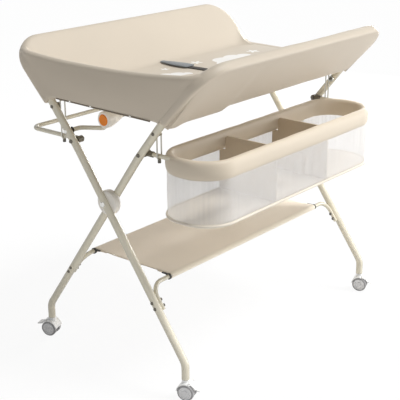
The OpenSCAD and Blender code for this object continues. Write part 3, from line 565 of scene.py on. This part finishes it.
# The end panels' inner and outer faces, from the tray's middle.
END_IN_X, END_OUT_X = 0.432, 0.4545
# The reach of the rounded hollow where the bed meets a wall, and how much the bed stands up in its middle.
CREASE = 0.012
CROWN = 0.0015
# The cover's ripples are a little fuller on a longer wall.
RIPPLE_SHARE = (WALL - 0.01) / WALL
# Points of each grid line: under half the bed, up a wall's outside, round the rim, and across the inside.
UNDER_COLS, WALL_COLS, ROLL_COLS, BED_COLS = 8, 15, 10, 61


def smooth_max(a, b, k):
    """The larger of a and b, with a rounded hollow where they are within k of each other."""
    h = np.clip(k - np.abs(a - b), 0, None) / np.maximum(k, 1e-9)
    return np.maximum(a, b) + h * h * k / 4


def wall_inside_z(y):
    """The height of a wall's inner face at each y."""
    return SEAT_Z + (np.abs(y) - SEAT_Y + WALL_IN / math.cos(LEAN)) / math.tan(LEAN)


def bed_crown(y):
    """The bed's padding stands highest along its middle and falls as a parabola to nothing by the walls."""
    return CROWN * (1 - np.clip(np.abs(y) / SEAT_Y, 0, 1) ** 2)


def end_stations(top_side, top_mid, sign, round_top=None, n_rise=16, n_roll=8, n_down=16):
    """The grid lines of one end of the tray, from its long straight part outwards.
    Each line has the point where it meets the rim tube (x, and the height s up the wall's slope), the way
    outwards from the rim there, and the x and height of its middle part. First the bed rises in a hollow
    curve up the inside of the end panel, then rolls over the panel's top edge, then drops down outside it."""
    arc = BEND * math.pi / 2
    attach = (top_side - SEAT_Z) / math.cos(LEAN)
    if attach > LEG_S:
        at = BEND * math.acos(min(1.0, (attach - LEG_S) / BEND))
    else:
        at = arc + (LEG_S - attach)
    before, after = at * 0.97, at * 1.03
    down = np.linspace(0, 1, n_down)
    t = np.concatenate([np.linspace(0, before, n_rise, endpoint=False),
                        np.linspace(before, after, n_roll, endpoint=False),
                        after + (arc + LEG_S - after) * down])
    on_arc = t < arc
    turn = np.where(on_arc, t / BEND, math.pi / 2)
    rim_x = STRAIGHT + BEND * np.sin(turn)
    rim_s = np.where(on_arc, LEG_S + BEND * np.cos(turn), LEG_S - (t - arc))
    hollow = np.linspace(0, math.pi / 2, n_rise, endpoint=False)
    over_edge = np.linspace(0, math.pi, n_roll, endpoint=False)
    hollow_power = 2 / 2.6
    half = (END_OUT_X - END_IN_X) / 2
    mid_x = np.concatenate([STRAIGHT + (END_IN_X - STRAIGHT) * np.sin(hollow) ** hollow_power,
                            (END_IN_X + END_OUT_X) / 2 - half * np.cos(over_edge),
                            np.full(n_down, END_OUT_X)])
    edge_height = half if round_top is None else round_top
    rise = np.concatenate([1 - np.cos(hollow) ** hollow_power, np.ones(n_roll), 1 - down])
    over = np.concatenate([np.zeros(n_rise), edge_height * np.sin(over_edge), np.zeros(n_down)])
    outside = np.concatenate([np.zeros(n_rise), np.linspace(0, 1, n_roll, endpoint=False), np.ones(n_down)])
    return dict(rim_x=rim_x, rim_s=np.maximum(rim_s, 0.0005), turn=turn, mid_x=mid_x, rise=rise, over=over,
                outside=outside, top_side=np.full(len(t), top_side), top_mid=np.full(len(t), top_mid),
                sign=np.full(len(t), sign))


def straight_stations(count=48):
    """The grid lines of the tray's long straight part, evenly spaced between the two ends' first lines."""
    x = np.linspace(-STRAIGHT, STRAIGHT, count + 2)[1:-1]
    none, bed = np.zeros(count), np.full(count, BED_Z)
    return dict(rim_x=np.abs(x), rim_s=np.full(count, WALL), turn=none, mid_x=np.abs(x), rise=none, over=none,
                outside=none, top_side=bed, top_mid=bed, sign=np.sign(x))


def smooth_step(value, start, end):
    """0 before start, 1 after end, with a smooth change between them."""
    t = np.clip((value - start) / (end - start), 0, 1)
    return t * t * (3 - 2 * t)


def edge_tilt(y, drop=0.001, tilt=0.0085):
    """How much the head panel's lower edge rises towards the back and drops towards the front."""
    return -drop + tilt * np.clip(y / SEAT_Y, -1, 1)


def lower_edge_change(x, y, st, sag=0.009):
    """The change of height at the tray's lower edge: the head panel's edge is tilted, and the cushion sags
    below the front wall along the part next to the head end. Both fade out up the walls and the panel."""
    half = np.concatenate([np.ones(UNDER_COLS), np.linspace(1, 0, WALL_COLS), np.zeros(ROLL_COLS)])
    sides = np.concatenate([half, np.zeros(BED_COLS), half[::-1]])[None, :] + np.zeros_like(x)
    col = np.arange(x.shape[1])
    inside_cols = (col >= len(half)) & (col < x.shape[1] - len(half))
    panel = (st["outside"] > 0.5) * (1 - st["rise"]) * inside_cols
    tilt = edge_tilt(y) * np.maximum(sides, panel) * smooth_step(-x, 0.34, 0.42)
    along = smooth_step(x, -0.43, -0.38) * (1 - smooth_step(x, -0.205, -0.175))
    return tilt - sag * sides * along * smooth_step(-y, 0.03, 0.15)


def skewed(x, weight):
    """x on the back frame, moved in to the shorter front frame by weight: the straight part is scaled, and
    the ends are shifted."""
    front = np.where(x <= STRAIGHT, x * (FRONT_X - BEND) / STRAIGHT, x - (BACK_X - FRONT_X))
    return x + (front - x) * weight


def half_outside(st, weight):
    """The grid's columns from under the middle of the bed, outwards and up the outside of a wall, whose
    padding bulges by half a sine. The weight is 0 for the back wall and 1 for the front wall."""
    n = len(st["rise"])
    q = np.linspace(0, 1, UNDER_COLS + 1)[None, :-1]
    s = np.linspace(0, 1, WALL_COLS)[None, :]
    thick = WALL_OUT + 0.0022 * np.sin(np.pi * s)
    under = np.broadcast_to(q * (SEAT_Y - 0.004), (n, UNDER_COLS))
    x = np.concatenate([skewed(st["rim_x"], 0.5 + (weight - 0.5) * q),
                        np.broadcast_to(skewed(st["rim_x"], weight), (n, WALL_COLS))], 1)
    y = np.concatenate([under, SEAT_Y + UP_Y * s * st["rim_s"] - IN_Y * thick], 1)
    z = np.concatenate([np.full(under.shape, UNDER_Z - 0.001),
                        SEAT_Z + UP_Z * s * st["rim_s"] - IN_Z * thick], 1)
    return x, y, z


def rim_roll(st, weight):
    """The grid's columns round the rim tube, from the outside, where the padding is squarer, to the inside: a
    sine and a cosine of the angle, each raised to a power."""
    last = math.pi - (math.pi * 0.42) * st["outside"]
    a = np.linspace(0, 1, ROLL_COLS + 1)[None, 1:] * last
    power = np.where(a < math.pi / 2, 0.72 - 0.27 * np.sin(st["turn"]), 1.0)
    side = squared(np.cos(a), power)
    way = np.clip(np.sin(a), 0, 1) ** power
    y = SEAT_Y + UP_Y * (st["rim_s"] + ROLL * way * np.cos(st["turn"])) - IN_Y * ROLL * side
    z = SEAT_Z + UP_Z * (st["rim_s"] + ROLL * way * np.cos(st["turn"])) - IN_Z * ROLL * side
    x = st["rim_x"] + ROLL * way * np.sin(st["turn"])
    return x + skewed(st["rim_x"], weight) - st["rim_x"], y, z


def between_rims(st, back_x, front_x, end_y, end_z):
    """The grid's columns from the back rim, where v is 1, across the bed to the front rim, where it is -1.
    The height is the larger of the wall and the bed or end panel, with a rounded hollow between them. On the
    outside of an end panel it is the panel's own level, which rises to the rims over its last stretch."""
    v = np.linspace(1, -1, BED_COLS + 2)[None, 1:-1]
    v = np.sign(v) * (1 - (1 - np.abs(v)) ** 1.15)
    y = v * end_y
    wall = np.minimum(wall_inside_z(y), end_z)
    top = st["top_mid"] + (st["top_side"] - st["top_mid"]) * np.abs(v) ** 2.2
    level = BED_Z + (top - BED_Z) * st["rise"]
    room = np.clip(end_z - level, 0.0001, 0.07)
    hollow = CREASE + (np.maximum(room * 0.85, CREASE) - CREASE) * np.clip(st["rise"] * 3, 0, 1)
    raised = level + bed_crown(y) * (1 - st["rise"]) + st["over"]
    inside_z = smooth_max(wall, raised, np.minimum(hollow, room * 0.85))
    to_rim = np.clip((np.abs(v) - 0.86) / 0.14, 0, 1) ** 2
    outer_level = UNDER_Z + (top - UNDER_Z) * st["rise"] + st["over"]
    outside_z = outer_level + (end_z - outer_level) * to_rim
    on_outside = st["outside"] > 0.5
    climb = np.clip((wall - level) / np.maximum(end_z - level, 1e-4), 0, 1)
    follow = np.where(on_outside, to_rim, climb)
    mid_x = skewed(np.broadcast_to(st["mid_x"], y.shape), (1 - v) / 2)
    bulge = 0.005 * np.sin(np.pi * np.clip(st["rise"], 0, 1)) * (1 - v ** 2) * (st["outside"] > 0.99)
    x = mid_x + bulge + (np.where(v > 0, back_x, front_x) - mid_x) * follow
    return x, y, np.where(on_outside, outside_z, inside_z)


def tray_points():
    """The whole padded tray as one closed skin: grid lines run across it, from under the bed, up the outside
    of the back wall, over its rail, down inside, across the bed, and over the front wall to the start."""
    head = end_stations(head_hi.z - 0.004, head_hi.z - 0.020, -1.0)
    foot = end_stations(BED_Z - 0.0005, BED_Z - 0.0005, 1.0, round_top=0.0015)
    middle = straight_stations()
    st = {key: np.concatenate([head[key][::-1], middle[key], foot[key]])[:, None] for key in head}
    back, back_rim = half_outside(st, 0.0), rim_roll(st, 0.0)
    front, front_rim = half_outside(st, 1.0), rim_roll(st, 1.0)
    back_x, end_y, end_z = (line[:, -1:] for line in back_rim)
    bed = between_rims(st, back_x, front_rim[0][:, -1:], end_y, end_z)

    def all_round(k, way):
        """One coordinate of all columns in their order; the front wall's run backwards, mirrored by way."""
        return np.concatenate([back[k], back_rim[k], bed[k], way * front_rim[k][:, ::-1],
                               way * front[k][:, ::-1]], 1)

    x, y, z = all_round(0, 1) * st["sign"], all_round(1, -1), all_round(2, 1)
    inner = slice(UNDER_COLS + WALL_COLS, -(UNDER_COLS + WALL_COLS))
    for row in (0, len(z) - 1):
        z[row, inner] = np.minimum(z[row, inner], UNDER_Z)
    z = z + lower_edge_change(x, y, st)
    ripple = 0.0009 * soft_wave(x, y + z, 0.03, 5) + 0.0012 * soft_wave(x, y - z, 0.09, 6)
    z = z + ripple * RIPPLE_SHARE * (np.abs(y) < RIM_Y)
    return np.stack([x, y, z], -1)


def end_caps(points, rows, cols):
    """Closes both ends of the tray's skin. Each wall's end is a fan round its middle, and between the walls
    the faces join the inside's columns to the underside's. Returns all points and the new faces."""
    faces = []
    first, last = UNDER_COLS - 1, UNDER_COLS + WALL_COLS + ROLL_COLS
    loop = np.arange(first, last + 1)
    top = np.arange(last, cols - last + 1)
    low = np.concatenate([np.arange(first, -1, -1), np.arange(cols - 1, cols - 2 - first, -1)])
    reach = np.arange(len(top)) * (len(low) - 1) // (len(top) - 1)
    for row in (0, rows - 1):
        base, centre = row * cols, len(points)
        ring = points[base:base + cols]
        back_middle, front_middle = ring[first:last + 1].mean(0), ring[cols - 1 - last:cols - first].mean(0)
        points = np.concatenate([points, [back_middle], [front_middle]])
        for number, chain in ((centre, loop), (centre + 1, cols - 1 - loop)):
            faces += [[number, base + a, base + b] for a, b in zip(chain, np.roll(chain, -1))]
        for k in range(len(top) - 1):
            faces.append([base + top[k], base + top[k + 1], base + low[reach[k]]])
            if reach[k + 1] > reach[k]:
                faces.append([base + top[k + 1], base + low[reach[k]], base + low[reach[k + 1]]])
    return points, faces


def map_bed(piece, layer_name):
    """A UV layer with each point's place on the bed in metres; off the bed its y lies beyond the print."""
    place = np.zeros(len(piece.data.vertices) * 3)
    piece.data.vertices.foreach_get("co", place)
    place = place.reshape(-1, 3)
    on_bed = (np.abs(place[:, 1]) < SEAT_Y - 0.012) & (place[:, 2] > BED_Z - 0.002)
    spot = np.stack([place[:, 0], np.where(on_bed, place[:, 1], 0.5)], -1)
    corner_of = np.zeros(len(piece.data.loops), np.int32)
    piece.data.loops.foreach_get("vertex_index", corner_of)
    layer = piece.data.uv_layers.new(name=layer_name)
    layer.data.foreach_set("uv", spot[corner_of].ravel())


def make_tray():
    """One padded, sewn tray."""
    grid = tray_points()
    rows, cols = grid.shape[:2]
    points, caps = end_caps(grid.reshape(-1, 3), rows, cols)
    faces = grid_faces(rows, cols, close_cols=True).tolist() + caps
    piece = mesh_piece("tray_cover", points, faces, merge=0.00005)
    map_bed(piece, "bed_place")
    finer(piece)
    dress(piece, tray_leather)
    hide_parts("tray_back_wall", "tray_front_wall", "tray_bed", "tray_head_panel", "tray_foot_lip")
    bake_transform(piece)


make_tray()


def panel_edge(y, sign):
    """The outer lower edge of an end panel at each y; the head panel's edge is the tilted one."""
    front = (1 - y / (SEAT_Y + 0.02)) / 2
    x = END_OUT_X - (BACK_X - FRONT_X) * front
    z = UNDER_Z + (edge_tilt(y) if sign < 0 else np.zeros_like(y))
    return np.stack([sign * x, y, z], -1)


def stud_rings(centre, sign, radius=0.0034, height=0.0018):
    """A press stud's outline as rings round the x axis: it starts a little inside the panel, and then rises
    as a sine while its radius shrinks as the cosine."""
    t = np.arange(4) * math.pi / 8
    high, wide = np.append(-0.4, np.sin(t))[:, None], np.append(0.9, np.cos(t))[:, None]
    a = np.arange(16) * np.pi / 8
    y, z = centre[1] + radius * wide * np.cos(a), centre[2] + radius * wide * np.sin(a)
    return np.stack([np.broadcast_to(centre[0] + sign * height * high, y.shape), y, z], -1)


def make_bindings(reach=0.158):
    """A dark binding of oval section along the lower edge of each end panel, and three press studs on it."""
    a = around(12)
    oval = np.stack([np.cos(a) * 0.0014, np.sin(a) * 0.0019], -1)
    for name, sign, studs in (("head", -1.0, (0.109, 0.037, -0.095)), ("foot", 1.0, (0.11, 0.0, -0.11))):
        path = panel_edge(np.linspace(reach, -reach, 41), sign)
        ups = np.tile([0.0, 0.0, 1.0], (len(path), 1))
        strip = closed_tube("%s_edge_binding" % name, carried_profile(path, ups, oval))
        dress(strip, trim_leather)
        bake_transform(strip)
        for number, place in enumerate(studs, 1):
            centre = panel_edge(np.array([place]), sign)[0] + np.array([sign * 0.0012, 0, 0.0006])
            stud = closed_tube("%s_press_stud_%d" % (name, number), stud_rings(centre, sign))
            dress(stud, chrome)
            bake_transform(stud)


make_bindings()


def bed_height(y):
    """The height of the tray's inside away from its ends: the higher of the bed's crown and the wall."""
    return smooth_max(wall_inside_z(y), BED_Z + bed_crown(y), CREASE)


# ---------------------------------------------------------------- the strap across the bed
def laid_band(name, y_from, y_to, width, thick, round_ends, finish, lift=0.0005, taper=0.0):
    """A band of squarish oval section laid along the bed's skin; its thickness and width close in over
    round_ends at both ends as a quarter circle, and it narrows to the rear over the length taper."""
    y = np.linspace(y_from, y_to, 49)
    near_end = np.clip(np.minimum(y - y_from, y_to - y) / round_ends, 0.02, 1)
    full = np.sqrt(1 - (1 - near_end) ** 2)
    a = around(32)
    side = squared(np.cos(a), 0.6) * width / 2
    up = squared(np.sin(a), 0.8) * thick / 2
    narrow = 1 - 0.55 * smooth_step(y, y_to - taper, y_to)[:, None] if taper else 1
    xs = STRAP_X + side[None, :] * (0.75 + 0.25 * full[:, None]) * narrow
    puff = full[:, None] * (1 + 0.08 * np.sin(y * 130)[:, None])
    zs = bed_height(y)[:, None] + lift + thick / 2 + up[None, :] * puff
    ys = np.broadcast_to(y[:, None], xs.shape)
    return dress(closed_tube(name, np.stack([xs, ys, zs], -1)), finish)


pad_lo, pad_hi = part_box("strap_pad")
web_lo, web_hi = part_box("strap_web")
buckle_lo, buckle_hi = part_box("strap_buckle")
STRAP_X = (pad_lo.x + pad_hi.x) / 2
pad = laid_band("strap_sleeve", pad_lo.y, pad_hi.y - 0.001, pad_hi.x - pad_lo.x, thick=0.0066,
                round_ends=0.008, finish=strap_grey, taper=0.075)
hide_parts("strap_pad")
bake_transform(pad)
webbing = laid_band("strap_webbing", web_lo.y, pad_lo.y + 0.006, web_hi.x - web_lo.x, thick=0.0018,
                    round_ends=0.001, finish=webbing_black)
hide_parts("strap_web")
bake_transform(webbing)


def make_buckle():
    """A side-release buckle: a squarish section along y, thicker in its middle, narrower at both tips, and
    squeezed in by a bell curve where the fingers press its sides."""
    t = np.linspace(-1, 1, 41)[:, None]
    y = np.linspace(buckle_lo.y, buckle_hi.y, 41)[:, None]
    tall = (buckle_hi.z - buckle_lo.z) / 2
    squeeze = 1 - 0.16 * np.exp(-((t - 0.15) / 0.22) ** 2)
    half = (buckle_hi.x - buckle_lo.x) / 2 * squeeze * np.minimum(1, 0.86 + 3 * (1 - np.abs(t)))
    deep = tall * (0.72 + 0.28 * np.clip(1.6 * (1 - np.abs(t)), 0, 1))
    a = around(40)[None, :]
    xs = STRAP_X + half * squared(np.cos(a), 0.35)
    zs = bed_height(y) + 0.0026 + tall + deep * squared(np.sin(a), 0.5)
    piece = closed_tube("strap_buckle_body", np.stack([xs, np.broadcast_to(y, xs.shape), zs], -1))
    dress(piece, dark_plastic)
    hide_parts("strap_buckle")
    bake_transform(piece)


make_buckle()


# ---------------------------------------------------------------- the shelf cloth
cloth_lo, cloth_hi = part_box("shelf_cloth")
SHELF_Z = (cloth_lo.z + cloth_hi.z) / 2
SHELF_OUT = (cloth_hi.z - cloth_lo.z) / 2
SHELF_Y = (cloth_hi.y - cloth_lo.y) / 2 - SHELF_OUT
CLOTH_THICK = 0.0014
SHELF_R = SHELF_OUT - CLOTH_THICK / 2
SHELF_SAG = 0.0035


def shelf_line():
    """The cloth's section: from the hem under the back edge, round the back tube in a half circle, across in
    a shallow parabola, round the front tube and back under to the other hem. Each hem rises from its tube to
    the cloth above it as an exponential. Returns y, z and the distance along the cloth."""
    turn = np.linspace(0, math.pi, 19)
    hem = np.linspace(0.045, 0.006, 6)
    gap = 0.0024
    top_z = SHELF_Z + SHELF_R
    across = np.linspace(1, -1, 61)
    over_y, over_z = across * SHELF_Y, top_z - SHELF_SAG * (1 - across ** 2)
    drop = SHELF_SAG * (1 - (1 - hem / SHELF_Y) ** 2)
    low_y, low_z = SHELF_Y - hem, top_z - drop - gap - (2 * SHELF_R - gap) * np.exp(-hem / 0.012)
    low_z = np.maximum(low_z, SHELF_Z - SHELF_R + 0.0002)
    back_y, back_z = SHELF_Y + SHELF_R * np.sin(turn), SHELF_Z - SHELF_R * np.cos(turn)
    y = np.concatenate([low_y, back_y[:-1], over_y, -back_y[::-1][1:], -low_y[::-1]])
    z = np.concatenate([low_z, back_z[:-1], over_z, back_z[::-1][1:], low_z[::-1]])
    along = np.concatenate([[0], np.cumsum(np.hypot(np.diff(y), np.diff(z)))])
    return y, z, along


def make_shelf():
    """A length of woven cloth with a sleeve at each long edge, hung between the two shelf tubes. Between them
    it creases: fine waves near its ends that fade inwards, and a slow uneven one all over."""
    y, z, along = shelf_line()
    half = (cloth_hi.x - cloth_lo.x) / 2
    grid_x, grid_y = np.meshgrid(np.linspace(-half, half, 121), y, indexing="ij")
    loose = np.clip(1 - np.abs(grid_y) / SHELF_Y, 0, 1) ** 0.7
    ends = np.exp(-(half - np.abs(grid_x)) / 0.08)
    crease = 0.0006 * np.sin(grid_y * 75 + 2.0 * np.sin(grid_x * 9)) * ends
    crease = crease + 0.0009 * soft_wave(grid_x, grid_y, 0.05, 11)
    grid_z = z[None, :] + loose * crease
    grid_x = grid_x * (1 - 0.004 * loose * np.clip(np.abs(grid_x) / half, 0, 1) ** 4)
    piece = mesh_piece("shelf_sling", np.stack([grid_x, grid_y, grid_z], -1), grid_faces(*grid_x.shape))
    piece.data.materials.append(shelf_cloth_finish)
    piece.data.materials.append(hem_cloth)
    centre = np.zeros(len(piece.data.polygons) * 3)
    piece.data.polygons.foreach_get("center", centre)
    front_sleeve = centre.reshape(-1, 3)[:, 1] < -(SHELF_Y - 0.004)
    piece.data.polygons.foreach_set("material_index", front_sleeve.astype(np.int32))
    thicken(piece, CLOTH_THICK)
    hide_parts("shelf_cloth")
    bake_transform(piece)


make_shelf()


# ---------------------------------------------------------------- the basket
rim_lo, rim_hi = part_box("basket_rim")
net_lo, net_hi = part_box("basket_mesh_sides")
net_end_lo, net_end_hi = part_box("basket_mesh_ends")
floor_lo, floor_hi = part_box("basket_floor")
BASKET_Y = (rim_lo.y + rim_hi.y) / 2
RIM_CORNER, NET_CORNER = 0.095, 0.091
NET_TUCK, NET_THICK = 0.006, 0.0006


def plan_line(half_l, half_w, radius, step=0.01):
    """A rounded rectangle round the basket's middle, as x and y pairs, starting at the middle of the back: a
    quarter of two straights and an arc, and its mirror images. The radius is at most half the width."""
    radius = min(radius, half_w)
    n_long, n_short = int((half_l - radius) / step), max(1, int((half_w - radius) / step))
    n_arc = int(radius * math.pi / 2 / step)
    turn = np.linspace(0, math.pi / 2, n_arc + 1)[:-1]
    arc_x, arc_y = half_l - radius + radius * np.sin(turn), half_w - radius + radius * np.cos(turn)
    long_x = np.linspace(0, half_l - radius, n_long + 1)[:-1]
    short_y = np.linspace(half_w - radius, 0, n_short + 1)[:-1]
    x = np.concatenate([long_x, arc_x, np.full(n_short, half_l)])
    y = np.concatenate([np.full(n_long, half_w), arc_y, short_y])
    x = np.concatenate([x, [half_l], x[:0:-1], -x, [-half_l], -x[:0:-1]])
    y = np.concatenate([y, [0.0], -y[:0:-1], -y, [0.0], y[:0:-1]])
    return np.stack([x, y + BASKET_Y], -1)


def make_rim():
    """A soft padded band round the basket's top: a squarish oval section carried along a rounded rectangle,
    which swells and slackens a little along its way."""
    half_l, half_w = (rim_hi.x - rim_lo.x) / 2, (rim_hi.y - rim_lo.y) / 2
    wide, tall = 0.013, (rim_hi.z - rim_lo.z) / 2
    plan = plan_line(half_l - wide, half_w - wide, RIM_CORNER - wide)
    path = np.concatenate([plan, np.full((len(plan), 1), (rim_lo.z + rim_hi.z) / 2)], 1)
    a = around(40)
    side, up = squared(np.cos(a), 0.75) * wide, squared(np.sin(a), 0.85) * tall
    x, y = plan[:, 0], plan[:, 1]
    swell = (1 + 0.05 * soft_wave(x, y, 0.05, 21))[:, None]
    stretch = (1 + 0.012 * soft_wave(x, y, 0.07, 22))[:, None]
    profile = np.stack([side[None, :] * swell, up[None, :] * stretch], -1)
    ups = np.tile([0.0, 0.0, 1.0], (len(path), 1))
    ring = carried_profile(path, ups, profile, close_path=True)
    ring[..., 2] += 0.0008 * soft_wave(ring[..., 0], ring[..., 1] + ring[..., 2], 0.018, 23)
    faces = grid_faces(*ring.shape[:2], close_rows=True, close_cols=True)
    piece = mesh_piece("basket_padded_rim", ring, faces, "front_rail")
    finer(piece)
    dress(piece, rim_leather)
    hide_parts("basket_rim")


def make_net():
    """The net wall: one band round the basket, from the floor's edge up into the rim. It is a rounded
    rectangle carried upwards, with faint upright waves that swell outwards by half a sine of the height."""
    inset = 0.0008
    half_l, half_w = (net_end_hi.x - net_end_lo.x) / 2 - inset, (net_hi.y - net_lo.y) / 2 - inset
    tall = net_hi.z + NET_TUCK - net_lo.z
    plan = plan_line(half_l, half_w, NET_CORNER)
    rows, cols = 15, len(plan)
    t = np.linspace(0, 1, rows)[:, None]
    middle = np.array([0.0, BASKET_Y])
    inward = (middle - plan) / np.linalg.norm(middle - plan, axis=1, keepdims=True)
    drawn = -0.0006 * np.sin(np.pi * t) * (1 + np.sin(plan[:, 0] * 150)[None, :])
    xy = plan[None] + inward[None] * drawn[..., None]
    z = net_lo.z + tall * t
    points = np.concatenate([xy, np.broadcast_to(z[..., None], (rows, cols, 1))], -1)
    faces = grid_faces(rows, cols, close_cols=True)
    mesh = bpy.data.meshes.new("basket_net")
    mesh.from_pydata(points.reshape(-1, 3).tolist(), [], faces.tolist())
    steps = np.linalg.norm(np.diff(np.concatenate([plan, plan[:1]]), axis=0), axis=1)
    round_way = np.concatenate([[0], np.cumsum(steps)])
    col, row = (faces % cols).astype(float), faces // cols
    wraps = (faces[:, :1] % cols == cols - 1) & (col == 0)
    u = np.interp(np.where(wraps, cols, col), np.arange(cols + 1), round_way)
    layer = mesh.uv_layers.new(name="round_and_up")
    layer.data.foreach_set("uv", np.stack([u, row / (rows - 1) * tall], -1).ravel())
    mesh.polygons.foreach_set("use_smooth", np.ones(len(mesh.polygons), bool))
    if mesh.polygons[0].normal.dot(Vector((*(middle - plan[0]), 0))) > 0:
        mesh.flip_normals()
    piece = bpy.data.objects.new("basket_net", mesh)
    scene.collection.objects.link(piece)
    thicken(piece, NET_THICK)
    dress(piece, white_net)
    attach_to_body(piece, "front_rail")
    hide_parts("basket_mesh_sides", "basket_mesh_ends")


def make_floor():
    """The basket's floor: a thin cushioned board with a round piped edge. Its grid runs from a line along the
    middle out to the edge, round the piping in an arc, and back underneath."""
    half_l, half_w = (floor_hi.x - floor_lo.x) / 2, (floor_hi.y - floor_lo.y) / 2
    edge = 0.004
    corner = NET_CORNER - edge
    plan = plan_line(half_l - edge, half_w - edge, corner)
    reach = half_l - edge - corner
    centre = np.stack([np.clip(plan[:, 0], -reach, reach), np.full(len(plan), BASKET_Y)], -1)
    t = np.linspace(0, 1, 13)[:, None, None]
    flat = centre[None] + (plan - centre)[None] * t
    cushion = 0.0012 * np.sin(np.pi * t[..., 0]) + 0.0005 * soft_wave(flat[..., 0], flat[..., 1], 0.03, 31)
    ahead = np.roll(plan, -1, 0) - np.roll(plan, 1, 0)
    out = np.stack([ahead[:, 1], -ahead[:, 0]], -1)
    out /= np.linalg.norm(out, axis=1, keepdims=True)
    out *= np.sign(((plan - centre) * out).sum(1, keepdims=True))
    a = np.linspace(math.radians(140), math.radians(-140), 15)[:, None]
    piping_xy = plan[None] + out[None] * (edge * np.cos(a))[..., None]
    piping_z = np.broadcast_to(floor_lo.z + edge + edge * np.sin(a), piping_xy.shape[:2])
    under = flat[::-1]
    under_z = np.full(under.shape[:2], floor_lo.z + 0.001)
    xy = np.concatenate([flat, piping_xy, under], 0)
    z = np.concatenate([floor_lo.z + 0.0062 + cushion, piping_z, under_z], 0)
    points = np.concatenate([xy, z[..., None]], -1)
    faces = grid_faces(*points.shape[:2], close_cols=True)
    piece = mesh_piece("basket_cushioned_floor", points, faces, "front_rail", merge=0.00004)
    dress(piece, floor_leather)
    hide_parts("basket_floor")


make_rim()
make_net()
make_floor()


# ---------------------------------------------------------------- floor and light
def hang_lamp(name, data, place, ahead):
    """A lamp at a place, shining along ahead."""
    lamp = bpy.data.objects.new(name, data)
    scene.collection.objects.link(lamp)
    turned = Vector(ahead).to_track_quat("-Z", "Y").to_matrix().to_4x4()
    lamp.matrix_world = Matrix.Translation(place) @ turned


def soft_light(name, place, target, size, power):
    """A round lamp of the given width in metres and power in watts, turned to its target."""
    data = bpy.data.lights.new(name, "AREA")
    data.shape, data.size, data.energy = "DISK", size, power
    hang_lamp(name, data, place, Vector(target) - Vector(place))


def seen_white(tree, seen_shader, lit_shader):
    """Shows one shader to the camera and to reflections, and the other to the light that bounces about."""
    path = node(tree, "LightPath")
    direct = math_node(tree, "MAXIMUM", path.outputs["Is Camera Ray"], path.outputs["Is Glossy Ray"])
    direct = math_node(tree, "MAXIMUM", direct, path.outputs["Is Transmission Ray"])
    return node(tree, "MixShader", {}, {0: direct, 1: lit_shader, 2: seen_shader}).outputs[0]


def floor_material():
    """A pale floor that looks white where nothing shades it, and keeps a soft shadow under the table."""
    made = bpy.data.materials.new("pale_floor")
    made.use_nodes = True
    tree = made.node_tree
    tree.nodes.remove(tree.nodes["Principled BSDF"])
    bounce = node(tree, "BsdfDiffuse", {"Color": (0.80, 0.79, 0.78, 1)})
    shadowed = node(tree, "BsdfDiffuse", {"Color": (0.96, 0.96, 0.96, 1)})
    bright = node(tree, "Emission", {"Color": WHITE, "Strength": 1.0})
    mixed = node(tree, "MixShader", {0: 0.92}, {1: shadowed.outputs[0], 2: bright.outputs[0]})
    look = seen_white(tree, mixed.outputs[0], bounce.outputs[0])
    tree.links.new(look, tree.nodes["Material Output"].inputs[0])
    return made


def sun(name, direction, strength, angle):
    """A distant lamp whose light travels against the given direction; the angle softens its shadows."""
    data = bpy.data.lights.new(name, "SUN")
    data.energy, data.angle = strength, math.radians(angle)
    hang_lamp(name, data, (0, 0, 0), -Vector(direction))


FLOOR_HALF, FLOOR_Z = 9, -0.0005
corners = [[x * FLOOR_HALF, y * FLOOR_HALF, FLOOR_Z] for x, y in ((-1, -1), (1, -1), (1, 1), (-1, 1))]
ground = mesh_piece("floor", corners, [[0, 1, 2, 3]])
dress(ground, floor_material())
sun("key", (0.32, -0.46, 0.83), 2.3, 20)
soft_light("front", (3.2, -2.8, 0.9), (0, 0, 0.5), 2.0, 66)
soft_light("far_end", (3.4, 0.6, 0.9), (0, 0, 0.35), 1.6, 80)
soft_light("near_end", (-3.2, -1.2, 0.5), (0, 0, 0.3), 1.4, 4)


def studio_world():
    """Even pale light all round, and a white background behind the object for what looks straight at it."""
    world = bpy.data.worlds.new("studio")
    scene.world = world
    world.use_nodes = True
    tree = world.node_tree
    lit = tree.nodes["Background"]
    lit.inputs["Color"].default_value = (0.98, 0.99, 1.0, 1)
    lit.inputs["Strength"].default_value = 0.26
    seen = node(tree, "Background", {"Color": WHITE, "Strength": 1.0})
    tree.links.new(seen_white(tree, seen.outputs[0], lit.outputs[0]), tree.nodes["World Output"].inputs[0])


studio_world()
scene.view_settings.view_transform = "Standard"
